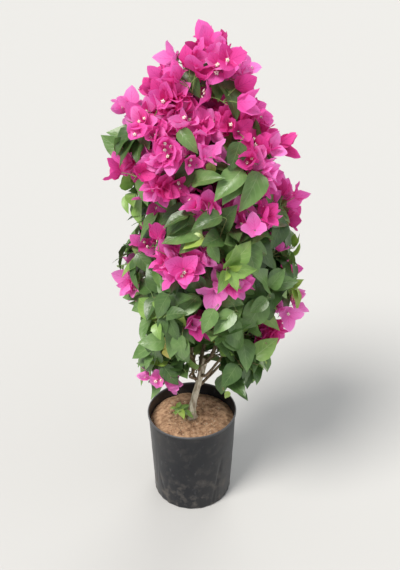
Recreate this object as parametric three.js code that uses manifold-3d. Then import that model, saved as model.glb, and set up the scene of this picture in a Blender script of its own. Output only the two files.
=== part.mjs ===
// A bougainvillea bush in its nursery pot. Millimetres, +Z up, origin at the centre of the pot's flat
// underside. A cut-back trunk stands in the soil, canes rise from it, and each cane's tip carries one mass
// of twigs, leaves and bracts that keeps to its own part of the crown.
import * as THREE from 'three';
import { mergeVertices } from 'three/addons/utils/BufferGeometryUtils.js';
import Module from 'manifold-3d';

const wasm = await Module();
wasm.setup();
const { Manifold, Mesh: SolidMesh } = wasm;

// Driving sizes
const clearance = 0.3; // between pieces that touch on the real plant
const potHeight = 250;
const potRimRadius = 110;
const potFootRadius = 99;
const potWall = 1.6;
const potFloor = 2.5;
const lipHeight = 7;
const lipProud = 1.8;
const footRound = 4;
const potSides = 36;
const outOfRound = { oval: 0.018, belly: 0.014 }; // of the pot's radius
const soilDepthBelowRim = 28;
const soilTop = potHeight - soilDepthBelowRim;
const soilSlump = 6; // the soil lies this much lower along the wall
const soilCrest = { radius: 70, rise: 2 }; // a low ring round the flat middle
const soilMiddle = 34;
const trunkFoot = soilTop + clearance;
const trunkLength = 190;
const trunkLean = { x: 34, y: -6 };
const trunkRadius = { foot: 8.8, top: 7.6, flare: 5, flareFade: 13, lobes: 3, lobeDepth: 0.3 };
const crownStretch = 1.1; // height of a mass's space over its width
const lowestLeaf = potHeight + 10;
const goldenTurn = Math.PI * (3 - Math.sqrt(5));
const up = new THREE.Vector3(0, 0, 1);

// The crown's layers, from the bottom: masses spaced evenly round a middle that lies aside of the pot's axis,
// the top one alone. bloom is the share of twigs that end in bracts.
const layers = [
  {
    name: 'foliage_low', count: 4, turn: 0.5, twigs: 12, bloom: 0.1,
    height: 445, aside: 38, out: 80, radius: 90,
  },
  {
    name: 'foliage_middle', count: 4, turn: 1.2, twigs: 14, bloom: 0.25,
    height: 608, aside: 52, out: 100, radius: 106,
  },
  {
    name: 'foliage_upper', count: 3, turn: 0.3, twigs: 13, bloom: 0.4,
    height: 778, aside: 44, out: 84, radius: 104,
  },
  {
    name: 'blossom_upper', count: 3, turn: 1.35, twigs: 14, bloom: 0.85,
    height: 938, aside: 26, out: 76, radius: 102,
  },
  {
    name: 'blossom_crown', count: 1, turn: 0, twigs: 16, bloom: 0.9,
    height: 1032, aside: 14, out: 6, radius: 96,
  },
];
const placing = { seed: 2101, stagger: 20, jitter: 12, turnJitter: 0.11, sizeJitter: 0.05 };
const furthestReach = 1.32; // of a mass's radius, which the tips of its leaves may not pass

const cane = { foot: 5.4, sideFoot: 4.2, tip: 3.1, sides: 5 };
const mainCane = {
  firstShare: 0.66, shareStep: 0.12, out: 24, rise: 34, tipIn: 0.3, tipDown: 0.72, steps: 12,
};
const lowCane = {
  firstShare: 0.5, shareStep: 0.07, out: 26, rise: 16, tipIn: 0.35, tipDown: 0.45, steps: 6,
};
const sideCane = { shareStep: 0.035, tipIn: 0.42, tipDown: 0.5, bow: 16, steps: 6 };
// Where a cane leaves a main cane, as a share of its length
const forks = { foliage_middle: 0.2, foliage_upper: 0.48, blossom_crown: 0.76 };
// Main canes pass through these rings, which lie aside as the layers do
const mainRings = [{ out: 40, aside: 46, height: 545 }, { out: 50, aside: 42, height: 730 }];

const stem = { crest: 0.5, bend: 0.45, tip: 2.8, steps: 3, sides: 4 };
const twig = {
  root: 2, tip: 1.7, steps: 2, sides: 3, lift: 0.16, bendAt: 0.55, shortest: 35,
  reach: 0.9, longReach: 1.2, reachJitter: 0.1, longEvery: 5,
};
// Heights of the twigs' targets, of a mass's radius, and where on the stem they start, from the first on
const twigTargets = { top: 0.97, fall: 1.7, firstStart: 0.98, startFall: 0.85 };
const leaf = {
  length: 98, width: 0.62, widest: 0.42, ribStart: 0.14, thick: 0.022, fold: 0.1, droop: 0.06, sunk: 0.4,
  gap: 21, usedTwig: 0.72, fewest: 2, lastShare: 0.94, shareRange: 0.7,
};
const leafPose = { forward: 0.5, hang: 0.1, hangJitter: 0.25, sway: 0.35, smallest: 0.84, sizeRange: 0.28 };
const bloom = {
  petals: 3, reach: 56, halfTurn: 0.68, waist: 0.62, eye: 0.16, thick: 5, sunk: 1.5,
  rise: 0.5, eyeRise: 0.4, tipRise: 0.9,
};
const bloomPose = { forward: 0.8, upward: 0.45, slant: 0.2, smallest: 0.85, sizeRange: 0.3 };

// Repeatable random numbers from 0 to 1
function seeded(seed) {
  let state = seed >>> 0;
  return () => {
    state = (state + 0x6d2b79f5) >>> 0;
    let mixed = Math.imul(state ^ (state >>> 15), state | 1);
    mixed ^= mixed + Math.imul(mixed ^ (mixed >>> 7), mixed | 61);
    return ((mixed ^ (mixed >>> 14)) >>> 0) / 4294967296;
  };
}

const point = (x, y, z) => new THREE.Vector3(x, y, z);
const around = (radius, angle, z) => point(radius * Math.cos(angle), radius * Math.sin(angle), z);

// Solids from corners and faces
function solidFrom(corners, faces) {
  const vertProperties = new Float32Array(corners.flatMap((corner) => corner.toArray()));
  return new Manifold(new SolidMesh({ numProp: 3, vertProperties, triVerts: new Uint32Array(faces) }));
}

function solidOf(geometry) {
  const bare = geometry.clone();
  bare.deleteAttribute('normal');
  bare.deleteAttribute('uv');
  const merged = mergeVertices(bare, 1e-3);
  const vertProperties = new Float32Array(merged.attributes.position.array);
  const triVerts = new Uint32Array(merged.index.array);
  return new Manifold(new SolidMesh({ numProp: 3, vertProperties, triVerts }));
}

// The largest body of a solid: sealed hollows are filled and loose scraps dropped
function mainBody(solid) {
  return solid.decompose().reduce((best, body) => (body.volume() > best.volume() ? body : best));
}

function geometryOf(solid) {
  const { numProp, vertProperties, triVerts } = solid.getMesh();
  const positions = new Float32Array((vertProperties.length / numProp) * 3);
  for (let vertex = 0; vertex < positions.length / 3; vertex += 1) {
    positions.set(vertProperties.subarray(vertex * numProp, vertex * numProp + 3), vertex * 3);
  }
  const geometry = new THREE.BufferGeometry();
  geometry.setAttribute('position', new THREE.BufferAttribute(positions, 3));
  geometry.setIndex(new THREE.BufferAttribute(new Uint32Array(triVerts), 1));
  geometry.computeVertexNormals();
  return geometry;
}

// A closed tube along a curve whose radius changes with the share of its length and the angle round it
function taperedTube(curve, steps, sides, radiusAt) {
  const frames = curve.computeFrenetFrames(steps);
  const corners = [];
  const faces = [];
  for (let step = 0; step <= steps; step += 1) {
    const share = step / steps;
    const centre = curve.getPointAt(share);
    for (let side = 0; side < sides; side += 1) {
      const angle = (side / sides) * 2 * Math.PI;
      const out = frames.normals[step].clone().multiplyScalar(Math.cos(angle));
      out.addScaledVector(frames.binormals[step], Math.sin(angle));
      corners.push(centre.clone().addScaledVector(out, radiusAt(share, angle)));
    }
  }
  for (let step = 0; step < steps; step += 1) {
    for (let side = 0; side < sides; side += 1) {
      const here = step * sides + side;
      const next = step * sides + ((side + 1) % sides);
      faces.push(here, next, next + sides, here, next + sides, here + sides);
    }
  }
  const last = steps * sides;
  for (let side = 1; side < sides - 1; side += 1) {
    faces.push(0, side + 1, side, last, last + side, last + side + 1);
  }
  return { corners, faces };
}

const evenTaper = (from, to) => (share) => from + (to - from) * share;

// Pot and soil

// The soft pot wall is a little out of round and bellied, by this share of its radius
function wallBulge(angle, z) {
  const rise = z / potHeight;
  const oval = outOfRound.oval * rise * Math.cos(2 * (angle - 0.5));
  const belly = outOfRound.belly * Math.sin(Math.PI * rise) * Math.cos(3 * angle + 0.8);
  return 1 + oval + belly;
}

const potRadiusAt = (z) => potFootRadius + (potRimRadius - lipProud - potFootRadius) * (z / potHeight);

function bulgedLathe(profile, sides) {
  const geometry = new THREE.LatheGeometry(profile, sides);
  geometry.rotateX(Math.PI / 2);
  const place = geometry.attributes.position;
  for (let vertex = 0; vertex < place.count; vertex += 1) {
    const x = place.getX(vertex);
    const y = place.getY(vertex);
    const bulge = wallBulge(Math.atan2(y, x), place.getZ(vertex));
    place.setXY(vertex, x * bulge, y * bulge);
  }
  return solidOf(geometry);
}

// Heights at which the pot's wall and the soil inside it both have a ring of corners
const wallRings = [9, 85, 160, soilTop - soilSlump];

const ringOf = (radius, z) => new THREE.Vector2(radius, z);

function potSolid() {
  const lipFoot = potHeight - lipHeight;
  const profile = [
    ringOf(0, 0),
    ringOf(potRadiusAt(0) - footRound, 0),
    ...[footRound, ...wallRings, lipFoot].map((z) => ringOf(potRadiusAt(z), z)),
    ringOf(potRimRadius, lipFoot + 1),
    ringOf(potRimRadius, potHeight),
    ...[potHeight, ...wallRings.toReversed()].map((z) => ringOf(potRadiusAt(z) - potWall, z)),
    ringOf(potRadiusAt(0) - potWall - footRound, potFloor),
    ringOf(0, potFloor),
  ];
  return bulgedLathe(profile, potSides);
}

function soilSolid() {
  const inset = potWall + 2 * clearance;
  const underside = potFloor + clearance;
  const profile = [
    ringOf(0, underside),
    ringOf(potRadiusAt(0) - inset - footRound, underside),
    ...wallRings.map((z) => ringOf(potRadiusAt(z) - inset, z)),
    ringOf(soilCrest.radius, soilTop + soilCrest.rise),
    ringOf(soilMiddle, soilTop),
    ringOf(0, soilTop),
  ];
  return bulgedLathe(profile, potSides);
}

// Trunk

const trunkCurve = new THREE.CatmullRomCurve3([
  point(0, 0, trunkFoot),
  point(trunkLean.x * 0.06, trunkLean.y * 0.06, trunkFoot + trunkLength * 0.2),
  point(trunkLean.x * 0.5, trunkLean.y * 0.5, trunkFoot + trunkLength * 0.6),
  point(trunkLean.x, trunkLean.y, trunkFoot + trunkLength),
]);

function trunkRadiusAt(share, angle) {
  const fade = Math.exp((-share * trunkLength) / trunkRadius.flareFade);
  const lobes = 1 + trunkRadius.lobeDepth * Math.cos(trunkRadius.lobes * angle + 0.4);
  return evenTaper(trunkRadius.foot, trunkRadius.top)(share) + trunkRadius.flare * fade * lobes;
}

function trunkSolid(grown = 0) {
  const sides = 12;
  const tube = taperedTube(trunkCurve, 12, sides, (share, angle) => trunkRadiusAt(share, angle) + grown);
  for (const corner of tube.corners.slice(0, sides)) {
    corner.z = trunkFoot;
  }
  return solidFrom(tube.corners, tube.faces);
}

// Masses: where each one's space lies

const either = (rand) => 2 * rand() - 1;

function crownMasses() {
  const rand = seeded(placing.seed);
  const masses = [];
  for (const layer of layers) {
    for (let index = 0; index < layer.count; index += 1) {
      const shift = layer.count > 1 ? placing.stagger * (index % 2 ? 1 : -1) : 0;
      const angle = layer.turn + (index / layer.count) * 2 * Math.PI + placing.turnJitter * either(rand);
      const out = layer.out + placing.jitter * either(rand);
      const height = layer.height + shift + placing.jitter * either(rand);
      masses.push({
        layer,
        angle,
        name: layer.count > 1 ? `${layer.name}_${index + 1}` : layer.name,
        centre: around(out, angle, height).add(point(layer.aside, 0, 0)),
        radius: layer.radius * (1 + placing.sizeJitter * either(rand)),
        seed: 100 * masses.length + 17,
      });
    }
  }
  return masses;
}

const masses = crownMasses();

// A point's distance from a mass's centre in the stretched measure that all spaces share
function stretchedDistance(mass, place) {
  const away = place.clone().sub(mass.centre);
  return Math.hypot(away.x, away.y, away.z / crownStretch);
}

// Between two masses lies a plane where both count as equally near. A mass keeps on its own side of each.
function keepsToSpace(mass, place) {
  const own = stretchedDistance(mass, place) ** 2 - mass.radius ** 2;
  return masses.every((other) => {
    if (other === mass) {
      return true;
    }
    const slope = other.centre.clone().sub(mass.centre).multiplyScalar(2);
    slope.z /= crownStretch ** 2;
    const theirs = stretchedDistance(other, place) ** 2 - other.radius ** 2;
    return theirs - own > clearance * slope.length();
  });
}

function allowed(mass, place) {
  const reach = stretchedDistance(mass, place) / mass.radius;
  return place.z > lowestLeaf && reach < furthestReach && keepsToSpace(mass, place);
}

// Canes: each is one tapering limb from the trunk or a lower cane to the inner foot of its mass

function caneTip(mass, sizes) {
  const inward = point(mass.layer.aside - mass.centre.x, -mass.centre.y, 0).normalize();
  const tip = mass.centre.clone().addScaledVector(inward, sizes.tipIn * mass.radius);
  tip.z -= sizes.tipDown * mass.radius * crownStretch;
  return tip;
}

// Where a cane from the trunk has bent upwards
function caneBend(start, mass, sizes) {
  return start.clone().add(around(sizes.out, mass.angle, sizes.rise));
}

function mainCaneOf(mass, index) {
  const rand = seeded(mass.seed + 5);
  const start = trunkCurve.getPointAt(mainCane.firstShare + mainCane.shareStep * index);
  const swing = () => mass.angle + placing.turnJitter * either(rand);
  const route = [
    start,
    caneBend(start, mass, mainCane),
    ...mainRings.map((ring) => around(ring.out, swing(), ring.height).add(point(ring.aside, 0, 0))),
    caneTip(mass, mainCane),
  ];
  return { mass, name: `cane_${index + 1}`, route, foot: cane.foot, steps: mainCane.steps };
}

function lowCaneOf(mass, index) {
  const start = trunkCurve.getPointAt(lowCane.firstShare + lowCane.shareStep * index);
  const route = [start, caneBend(start, mass, lowCane), caneTip(mass, lowCane)];
  return { mass, name: `low_cane_${index + 1}`, route, foot: cane.sideFoot, steps: lowCane.steps };
}

// A side cane leaves the main cane that stands nearest to its mass
function sideCaneOf(mass, name, mains, share) {
  const near = (main) => curveOf(main).getPointAt(share).distanceTo(mass.centre);
  const parent = mains.reduce((best, main) => (near(main) < near(best) ? main : best));
  const start = curveOf(parent).getPointAt(share);
  const tip = caneTip(mass, sideCane);
  const middle = start.clone().lerp(tip, 0.5);
  middle.addScaledVector(curveOf(parent).getTangentAt(share), sideCane.bow);
  return { mass, name, route: [start, middle, tip], foot: cane.sideFoot, steps: sideCane.steps };
}

function curveOf(limb) {
  return new THREE.CatmullRomCurve3(limb.route);
}

function crownCanes() {
  const inLayer = (name) => masses.filter((mass) => mass.layer.name === name);
  const mains = inLayer('blossom_upper').map(mainCaneOf);
  const forked = (layerName, nameOf) => inLayer(layerName).map((mass, index) => (
    sideCaneOf(mass, nameOf(index + 1), mains, forks[layerName] + sideCane.shareStep * index)
  ));
  return [
    ...mains,
    ...inLayer('foliage_low').map(lowCaneOf),
    ...forked('foliage_middle', (number) => `side_cane_${number}`),
    ...forked('foliage_upper', (number) => `upper_cane_${number}`),
    ...forked('blossom_crown', () => 'crown_cane'),
  ];
}

const canes = crownCanes();

function caneSolid(limb, grown = 0) {
  const taper = evenTaper(limb.foot, cane.tip);
  const tube = taperedTube(curveOf(limb), limb.steps, cane.sides, (share) => taper(share) + grown);
  return solidFrom(tube.corners, tube.faces);
}

// Leaves, bracts and twigs

// An outline closed over by fans to a point above it and a point below it. Seen from above it turns left.
function fanned(outline, above, below) {
  const corners = [...outline, above, below];
  const top = outline.length;
  const faces = outline.flatMap((corner, index) => {
    const next = (index + 1) % top;
    return [index, next, top, next, index, top + 1];
  });
  return { corners, faces };
}

// A leaf has eight faces: a root, a tip and two edges raised by the fold, with the rib's upper and lower side
function leafShape(root, along, normal, length) {
  const side = new THREE.Vector3().crossVectors(normal, along);
  const at = (share, aside, above) => root.clone()
    .addScaledVector(along, share * length)
    .addScaledVector(side, aside * length)
    .addScaledVector(normal, above * length);
  const halfWidth = leaf.width / 2;
  const outline = [
    at(0, 0, 0),
    at(leaf.widest, -halfWidth, leaf.fold),
    at(1, 0, -leaf.droop),
    at(leaf.widest, halfWidth, leaf.fold),
  ];
  return fanned(outline, at(leaf.ribStart, 0, leaf.thick / 2), at(leaf.ribStart, 0, -leaf.thick / 2));
}

// A bloom is one open cup of three bracts, each with two shoulders and a tip
function bloomShape(base, axis, across, size) {
  const outline = [];
  const at = (angle, out, rise) => base.clone()
    .addScaledVector(across.clone().applyAxisAngle(axis, angle), out * size * bloom.reach)
    .addScaledVector(axis, rise * size * bloom.reach);
  for (let petal = 0; petal < bloom.petals; petal += 1) {
    const middle = (petal / bloom.petals) * 2 * Math.PI;
    const between = middle - Math.PI / bloom.petals;
    outline.push(at(between, bloom.eye, bloom.rise * bloom.eyeRise));
    outline.push(at(middle - bloom.halfTurn, bloom.waist, bloom.rise));
    outline.push(at(middle, 1, bloom.rise * bloom.tipRise));
    outline.push(at(middle + bloom.halfTurn, bloom.waist, bloom.rise));
  }
  return fanned(outline, base.clone().addScaledVector(axis, bloom.thick), base);
}

function squareTo(along, wanted) {
  return wanted.clone().addScaledVector(along, -wanted.dot(along)).normalize();
}

// A leaf stands out from its twig and hangs a little, its face to the light
function leafAt(curve, share, turn, rand) {
  const tangent = curve.getTangentAt(share);
  const out = squareTo(tangent, up).applyAxisAngle(tangent, turn);
  const along = tangent.clone().multiplyScalar(leafPose.forward).add(out);
  along.addScaledVector(up, -leafPose.hang - leafPose.hangJitter * rand()).normalize();
  const sway = around(leafPose.sway * rand(), 2 * Math.PI * rand(), 0);
  const normal = squareTo(along, up.clone().add(sway));
  const root = curve.getPointAt(share).addScaledVector(along, -leaf.sunk);
  return leafShape(root, along, normal, leaf.length * (leafPose.smallest + leafPose.sizeRange * rand()));
}

// A bloom sits over the end of its twig and looks up and out
function bloomAt(curve, rand) {
  const tangent = curve.getTangentAt(1);
  const axis = tangent.clone().multiplyScalar(bloomPose.forward);
  axis.addScaledVector(up, bloomPose.upward).normalize();
  const across = squareTo(axis, around(1, 2 * Math.PI * rand(), bloomPose.slant));
  const base = curve.getPointAt(1).addScaledVector(tangent, -bloom.sunk);
  return bloomShape(base, axis, across, bloomPose.smallest + bloomPose.sizeRange * rand());
}

// A twig's end is drawn back towards its start until it lies in the mass's space
function reachable(mass, start, target) {
  const shares = [1, 0.9, 0.8, 0.7, 0.6, 0.5, 0.4];
  const ends = shares.map((share) => start.clone().lerp(target, share));
  return ends.find((end) => allowed(mass, end) && end.distanceTo(start) > twig.shortest);
}

// Twigs leave the stem, from its tip down, for targets spread evenly over the mass by the golden turn
function twigCurves(mass, stemCurve, rand) {
  const curves = [];
  const phase = 2 * Math.PI * rand();
  for (let index = 0; index < mass.layer.twigs; index += 1) {
    const done = (index + 0.5) / mass.layer.twigs;
    const height = twigTargets.top - twigTargets.fall * done;
    const long = index % twig.longEvery === 3;
    const reach = mass.radius * ((long ? twig.longReach : twig.reach) + twig.reachJitter * rand());
    const spread = Math.sqrt(1 - height * height);
    const direction = around(spread, phase + index * goldenTurn, height * crownStretch);
    const start = stemCurve.getPointAt(twigTargets.firstStart - twigTargets.startFall * done);
    const end = reachable(mass, start, mass.centre.clone().addScaledVector(direction, reach));
    if (end) {
      const bend = start.clone().lerp(end, twig.bendAt);
      bend.z += twig.lift * end.distanceTo(start);
      curves.push(new THREE.QuadraticBezierCurve3(start, bend, end));
    }
  }
  return curves;
}

// The stem goes on from its cane's tip, 0.3 mm clear of it, to the crest of the mass
function stemCurveOf(limb) {
  const heading = curveOf(limb).getTangentAt(1);
  const start = curveOf(limb).getPointAt(1).addScaledVector(heading, clearance);
  const crest = limb.mass.centre.clone();
  crest.z += stem.crest * limb.mass.radius * crownStretch;
  const bend = start.clone().addScaledVector(heading, stem.bend * start.distanceTo(crest));
  return new THREE.QuadraticBezierCurve3(start, bend, crest);
}

// A mass is its stem with every twig, bloom and leaf that fits fused to it. One fits if it keeps to the
// mass's space and clear of the limbs, and a bloom or leaf also keeps clear of all but its own twig.
function massSolid(limb, limbs) {
  const { mass } = limb;
  const rand = seeded(mass.seed);
  const stemCurve = stemCurveOf(limb);
  const stemTube = taperedTube(stemCurve, stem.steps, stem.sides, evenTaper(cane.tip, stem.tip));
  const wood = [solidFrom(stemTube.corners, stemTube.faces)];
  const blades = [];
  const fitted = ({ corners, faces }, others) => {
    if (!corners.every((corner) => allowed(mass, corner))) {
      return null;
    }
    const solid = solidFrom(corners, faces);
    return others.every((other) => other.intersect(solid).isEmpty()) ? solid : null;
  };
  const twigs = [];
  for (const curve of twigCurves(mass, stemCurve, rand)) {
    const tube = taperedTube(curve, twig.steps, twig.sides, evenTaper(twig.root, twig.tip));
    const solid = fitted(tube, [limbs]);
    if (solid) {
      wood.push(solid);
      twigs.push({ curve, solid });
    }
  }
  const addBlade = (shape, own) => {
    const solid = fitted(shape, [limbs, ...blades, ...wood.filter((piece) => piece !== own)]);
    if (solid) {
      blades.push(solid);
    }
    return solid !== null;
  };
  for (const { curve, solid } of twigs) {
    if (rand() < mass.layer.bloom) {
      addBlade(bloomAt(curve, rand), solid);
    }
  }
  const turnsTried = [0, 1.1, -1.1, 2.2, -2.2, 3.1, 0.5, -0.5];
  for (const { curve, solid } of twigs) {
    const firstTurn = 2 * Math.PI * rand();
    const leaves = Math.max(leaf.fewest, Math.round((leaf.usedTwig * curve.getLength()) / leaf.gap));
    for (let index = 0; index < leaves; index += 1) {
      const share = leaf.lastShare - (leaf.shareRange * index) / leaves;
      const turn = firstTurn + index * goldenTurn;
      turnsTried.some((other) => addBlade(leafAt(curve, share, turn + other, rand), solid));
    }
  }
  return mainBody(Manifold.union([...wood, ...blades]));
}

// The whole plant

const finishes = {
  pot: { color: 0x1d1e20, roughness: 0.5 },
  soil: { color: 0x9a7453, roughness: 0.95 },
  bark: { color: 0x8a7a66, roughness: 0.85 },
  leaves: { color: 0x3f6b35, roughness: 0.45 },
  bracts: { color: 0xd6308c, roughness: 0.6 },
};

function namedMesh(name, solid, finish) {
  const material = new THREE.MeshStandardMaterial({ ...finishes[finish], metalness: 0 });
  const mesh = new THREE.Mesh(geometryOf(solid), material);
  mesh.name = name;
  return mesh;
}

const plant = new THREE.Group();
plant.add(namedMesh('pot', potSolid(), 'pot'));
plant.add(namedMesh('soil', soilSolid(), 'soil'));
plant.add(namedMesh('trunk', trunkSolid(), 'bark'));

// Each cane is cut clear of the trunk and the canes before it, all grown by the clearance
let limbs = trunkSolid(clearance);
for (const limb of canes) {
  plant.add(namedMesh(limb.name, mainBody(caneSolid(limb).subtract(limbs)), 'bark'));
  limbs = limbs.add(caneSolid(limb, clearance));
}

for (const limb of canes) {
  const finish = limb.mass.layer.bloom > 0.5 ? 'bracts' : 'leaves';
  plant.add(namedMesh(limb.mass.name, massSolid(limb, limbs), finish));
}

export default plant;
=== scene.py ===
import math

import bpy
import numpy as np
from mathutils import Matrix, Vector, noise
from mathutils.bvhtree import BVHTree


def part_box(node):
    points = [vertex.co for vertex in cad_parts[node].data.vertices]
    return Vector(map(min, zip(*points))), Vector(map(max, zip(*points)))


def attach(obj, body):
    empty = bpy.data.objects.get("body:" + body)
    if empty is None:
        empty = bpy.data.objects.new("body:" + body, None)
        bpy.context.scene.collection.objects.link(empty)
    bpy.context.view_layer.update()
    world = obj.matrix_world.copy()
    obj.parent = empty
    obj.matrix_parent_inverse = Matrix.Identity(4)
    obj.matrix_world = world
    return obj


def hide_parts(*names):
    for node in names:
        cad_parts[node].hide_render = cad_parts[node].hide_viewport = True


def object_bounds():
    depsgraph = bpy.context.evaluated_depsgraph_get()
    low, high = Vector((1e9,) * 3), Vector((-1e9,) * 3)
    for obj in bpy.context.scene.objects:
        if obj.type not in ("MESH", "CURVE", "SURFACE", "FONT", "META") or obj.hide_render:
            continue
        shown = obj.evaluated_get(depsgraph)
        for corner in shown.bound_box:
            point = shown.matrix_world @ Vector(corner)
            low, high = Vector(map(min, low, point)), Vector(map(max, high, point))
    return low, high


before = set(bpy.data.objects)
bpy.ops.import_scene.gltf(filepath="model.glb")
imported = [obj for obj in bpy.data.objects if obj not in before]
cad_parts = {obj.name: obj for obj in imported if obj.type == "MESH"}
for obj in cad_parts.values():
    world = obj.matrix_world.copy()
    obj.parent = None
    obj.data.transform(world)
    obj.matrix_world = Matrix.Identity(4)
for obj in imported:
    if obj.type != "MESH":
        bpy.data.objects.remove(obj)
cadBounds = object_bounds()
upward = Vector((0, 0, 1))
wholeTurn = 2 * math.pi
goldenTurn = math.pi * (3 - math.sqrt(5))
seeds = {"shoots": 909, "shades": 5150, "blooms": 7703, "leaves": 4401, "blossom": 7704, "sprout": 88,
         "thorns": 626, "folds": 311, "crumb": 55}


# Random draws that repeat, the same as the source's
def seededDraws(seed):
    def draws():
        state = seed
        while True:
            state = (state + 0x6D2B79F5) & 0xFFFFFFFF
            mixed = ((state ^ (state >> 15)) * (state | 1)) & 0xFFFFFFFF
            mixed ^= (mixed + ((mixed ^ (mixed >> 7)) * (mixed | 61))) & 0xFFFFFFFF
            yield (mixed ^ (mixed >> 14)) / 4294967296

    return draws().__next__


def either(rand):
    return 2 * rand() - 1


def between(rand, low, high):
    return low + (high - low) * rand()


def around(radius, angle, z=0.0):
    return Vector((radius * math.cos(angle), radius * math.sin(angle), z))


def squareTo(along, wanted):
    return (wanted - along * wanted.dot(along)).normalized()


def outOf(heading, turn, wanted=upward):
    return Matrix.Rotation(turn, 3, heading) @ squareTo(heading, wanted)


# Curves

class CatmullCurve:  # centripetal, with each end run on by its first stretch
    def __init__(self, points, samples=160):
        self.points = points
        self.samples = [self.plain(step / samples) for step in range(samples + 1)]
        gaps = [(b - a).length for a, b in zip(self.samples, self.samples[1:])]
        self.travelled = np.concatenate(([0.0], np.cumsum(gaps)))
        self.length = float(self.travelled[-1])

    def plain(self, share):
        points = self.points
        last = len(points) - 1
        index = min(int(share * last), last - 1)
        weight = share * last - index
        start, end = points[index], points[index + 1]
        before = points[index - 1] if index > 0 else start * 2 - end
        after = points[index + 2] if index + 2 <= last else end * 2 - start
        first, middle, third = (
            max((b - a).length, 1e-9) ** 0.5
            for a, b in ((before, start), (start, end), (end, after))
        )
        leave = (start - before) / first - (end - before) / (first + middle) + (end - start) / middle
        arrive = (end - start) / middle - (after - start) / (middle + third) + (after - end) / third
        leave, arrive = leave * middle, arrive * middle
        rest = 3 * (end - start) - 2 * leave - arrive
        cubic = 2 * (start - end) + leave + arrive
        return start + leave * weight + rest * weight**2 + cubic * weight**3

    def at(self, share):
        wanted = share * self.travelled[-1]
        index = int(np.clip(np.searchsorted(self.travelled, wanted) - 1, 0, len(self.samples) - 2))
        before, after = self.travelled[index:index + 2]
        return self.samples[index].lerp(self.samples[index + 1], float((wanted - before) / (after - before)))

    def heading(self, share, reach=0.01):
        return (self.at(min(share + reach, 1)) - self.at(max(share - reach, 0))).normalized()


class BentCurve(CatmullCurve):  # a quadratic through a bend
    def __init__(self, start, bend, end):
        super().__init__([start, bend, end], samples=24)

    def plain(self, share):
        start, bend, end = self.points
        return start * (1 - share) ** 2 + bend * (2 * share * (1 - share)) + end * share**2


def archedCurve(start, end, rise, share=0.5):
    return BentCurve(start, start.lerp(end, share) + upward * rise * (end - start).length, end)


# The growth rule of the source, written again here

crown = {
    "seed": 2101,
    "massSeeds": (17, 100),  # of the first mass, and the step to the next
    "stagger": 0.02,
    "jitter": 0.012,
    "turnJitter": 0.11,
    "sizeJitter": 0.05,
    "stretch": 1.1,  # height of a mass's space over its width
    "reach": 1.32,  # of a mass's radius
    "lowest": 0.26,
    "gap": 0.0003,
    "layers": [
        {"name": "foliage_low", "count": 4, "height": 0.445, "aside": 0.038, "out": 0.08, "radius": 0.09,
         "turn": 0.5, "twigs": 12, "bloom": 0.05},
        {"name": "foliage_middle", "count": 4, "height": 0.608, "aside": 0.052, "out": 0.1, "radius": 0.106,
         "turn": 1.2, "twigs": 14, "bloom": 0.1},
        {"name": "foliage_upper", "count": 3, "height": 0.778, "aside": 0.044, "out": 0.084, "radius": 0.104,
         "turn": 0.3, "twigs": 13, "bloom": 0.25},
        {"name": "blossom_upper", "count": 3, "height": 0.938, "aside": 0.026, "out": 0.076, "radius": 0.102,
         "turn": 1.35, "twigs": 14, "bloom": 0.72},
        {"name": "blossom_crown", "count": 1, "height": 1.032, "aside": 0.014, "out": 0.006, "radius": 0.096,
         "turn": 0.0, "twigs": 16, "bloom": 0.85},
    ],
}
crownGroups = {
    "Low": ["foliage_low"],
    "Middle": ["foliage_middle"],
    "Upper": ["foliage_upper"],
    "Top": ["blossom_upper", "blossom_crown"],
}
trunkSizes = {
    "foot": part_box("trunk")[0][2],
    "length": 0.19,
    "lean": Vector((0.034, -0.006, 0)),
    "route": ((0, 0), (0.06, 0.2), (0.5, 0.6), (1, 1)),  # shares of the lean and of the length
    "radii": (0.0088, 0.0076),
    "flare": 0.005,
    "flareFade": 0.013,
}
caneSizes = {
    "foot": 0.0054,
    "sideFoot": 0.0042,
    "tip": 0.0031,
    "seedShift": 5,
    "rings": ((0.04, 0.046, 0.545), (0.05, 0.042, 0.73)),  # main canes pass here: out, aside, height
    "main": {"firstShare": 0.66, "shareStep": 0.12, "out": 0.024, "rise": 0.034,
             "tipIn": 0.3, "tipDown": 0.72},
    "low": {"firstShare": 0.5, "shareStep": 0.07, "out": 0.026, "rise": 0.016,
            "tipIn": 0.35, "tipDown": 0.45},
    "side": {"shareStep": 0.035, "bow": 0.016, "tipIn": 0.42, "tipDown": 0.5},
    "forks": {  # names, and shares of a main cane
        "foliage_middle": ("side_cane_{}", 0.2),
        "foliage_upper": ("upper_cane_{}", 0.48),
        "blossom_crown": ("crown_cane", 0.76),
    },
}
stemSizes = {"crest": 0.5, "bend": 0.45, "radii": (0.0034, 0.0021)}
twigSizes = {
    "heights": (0.97, 1.7),  # of the first twig's aim over the mass's middle, and the fall to the last
    "feet": (0.98, 0.85),  # of the first twig on the stem, and the fall to the last
    "reaches": (0.9, 1.2),  # of the mass's radius, for a common and for a long twig
    "reachJitter": 0.1,
    "longEvery": 5,
    "firstLong": 3,
    "pulls": 7,  # a twig that leaves its space is drawn in by this many steps at most
    "pull": 0.1,
    "shortest": 0.035,
    "arch": 0.16,
    "archAt": 0.55,
    "radii": (0.0017, 0.0010),
    "newGrowth": (0.2, 1.0),  # of a common and of a long twig
}


def trunkCurve():
    lean, rise = trunkSizes["lean"], upward * trunkSizes["length"]
    foot = upward * trunkSizes["foot"]
    return CatmullCurve([foot + lean * aside + rise * up for aside, up in trunkSizes["route"]])


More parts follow.
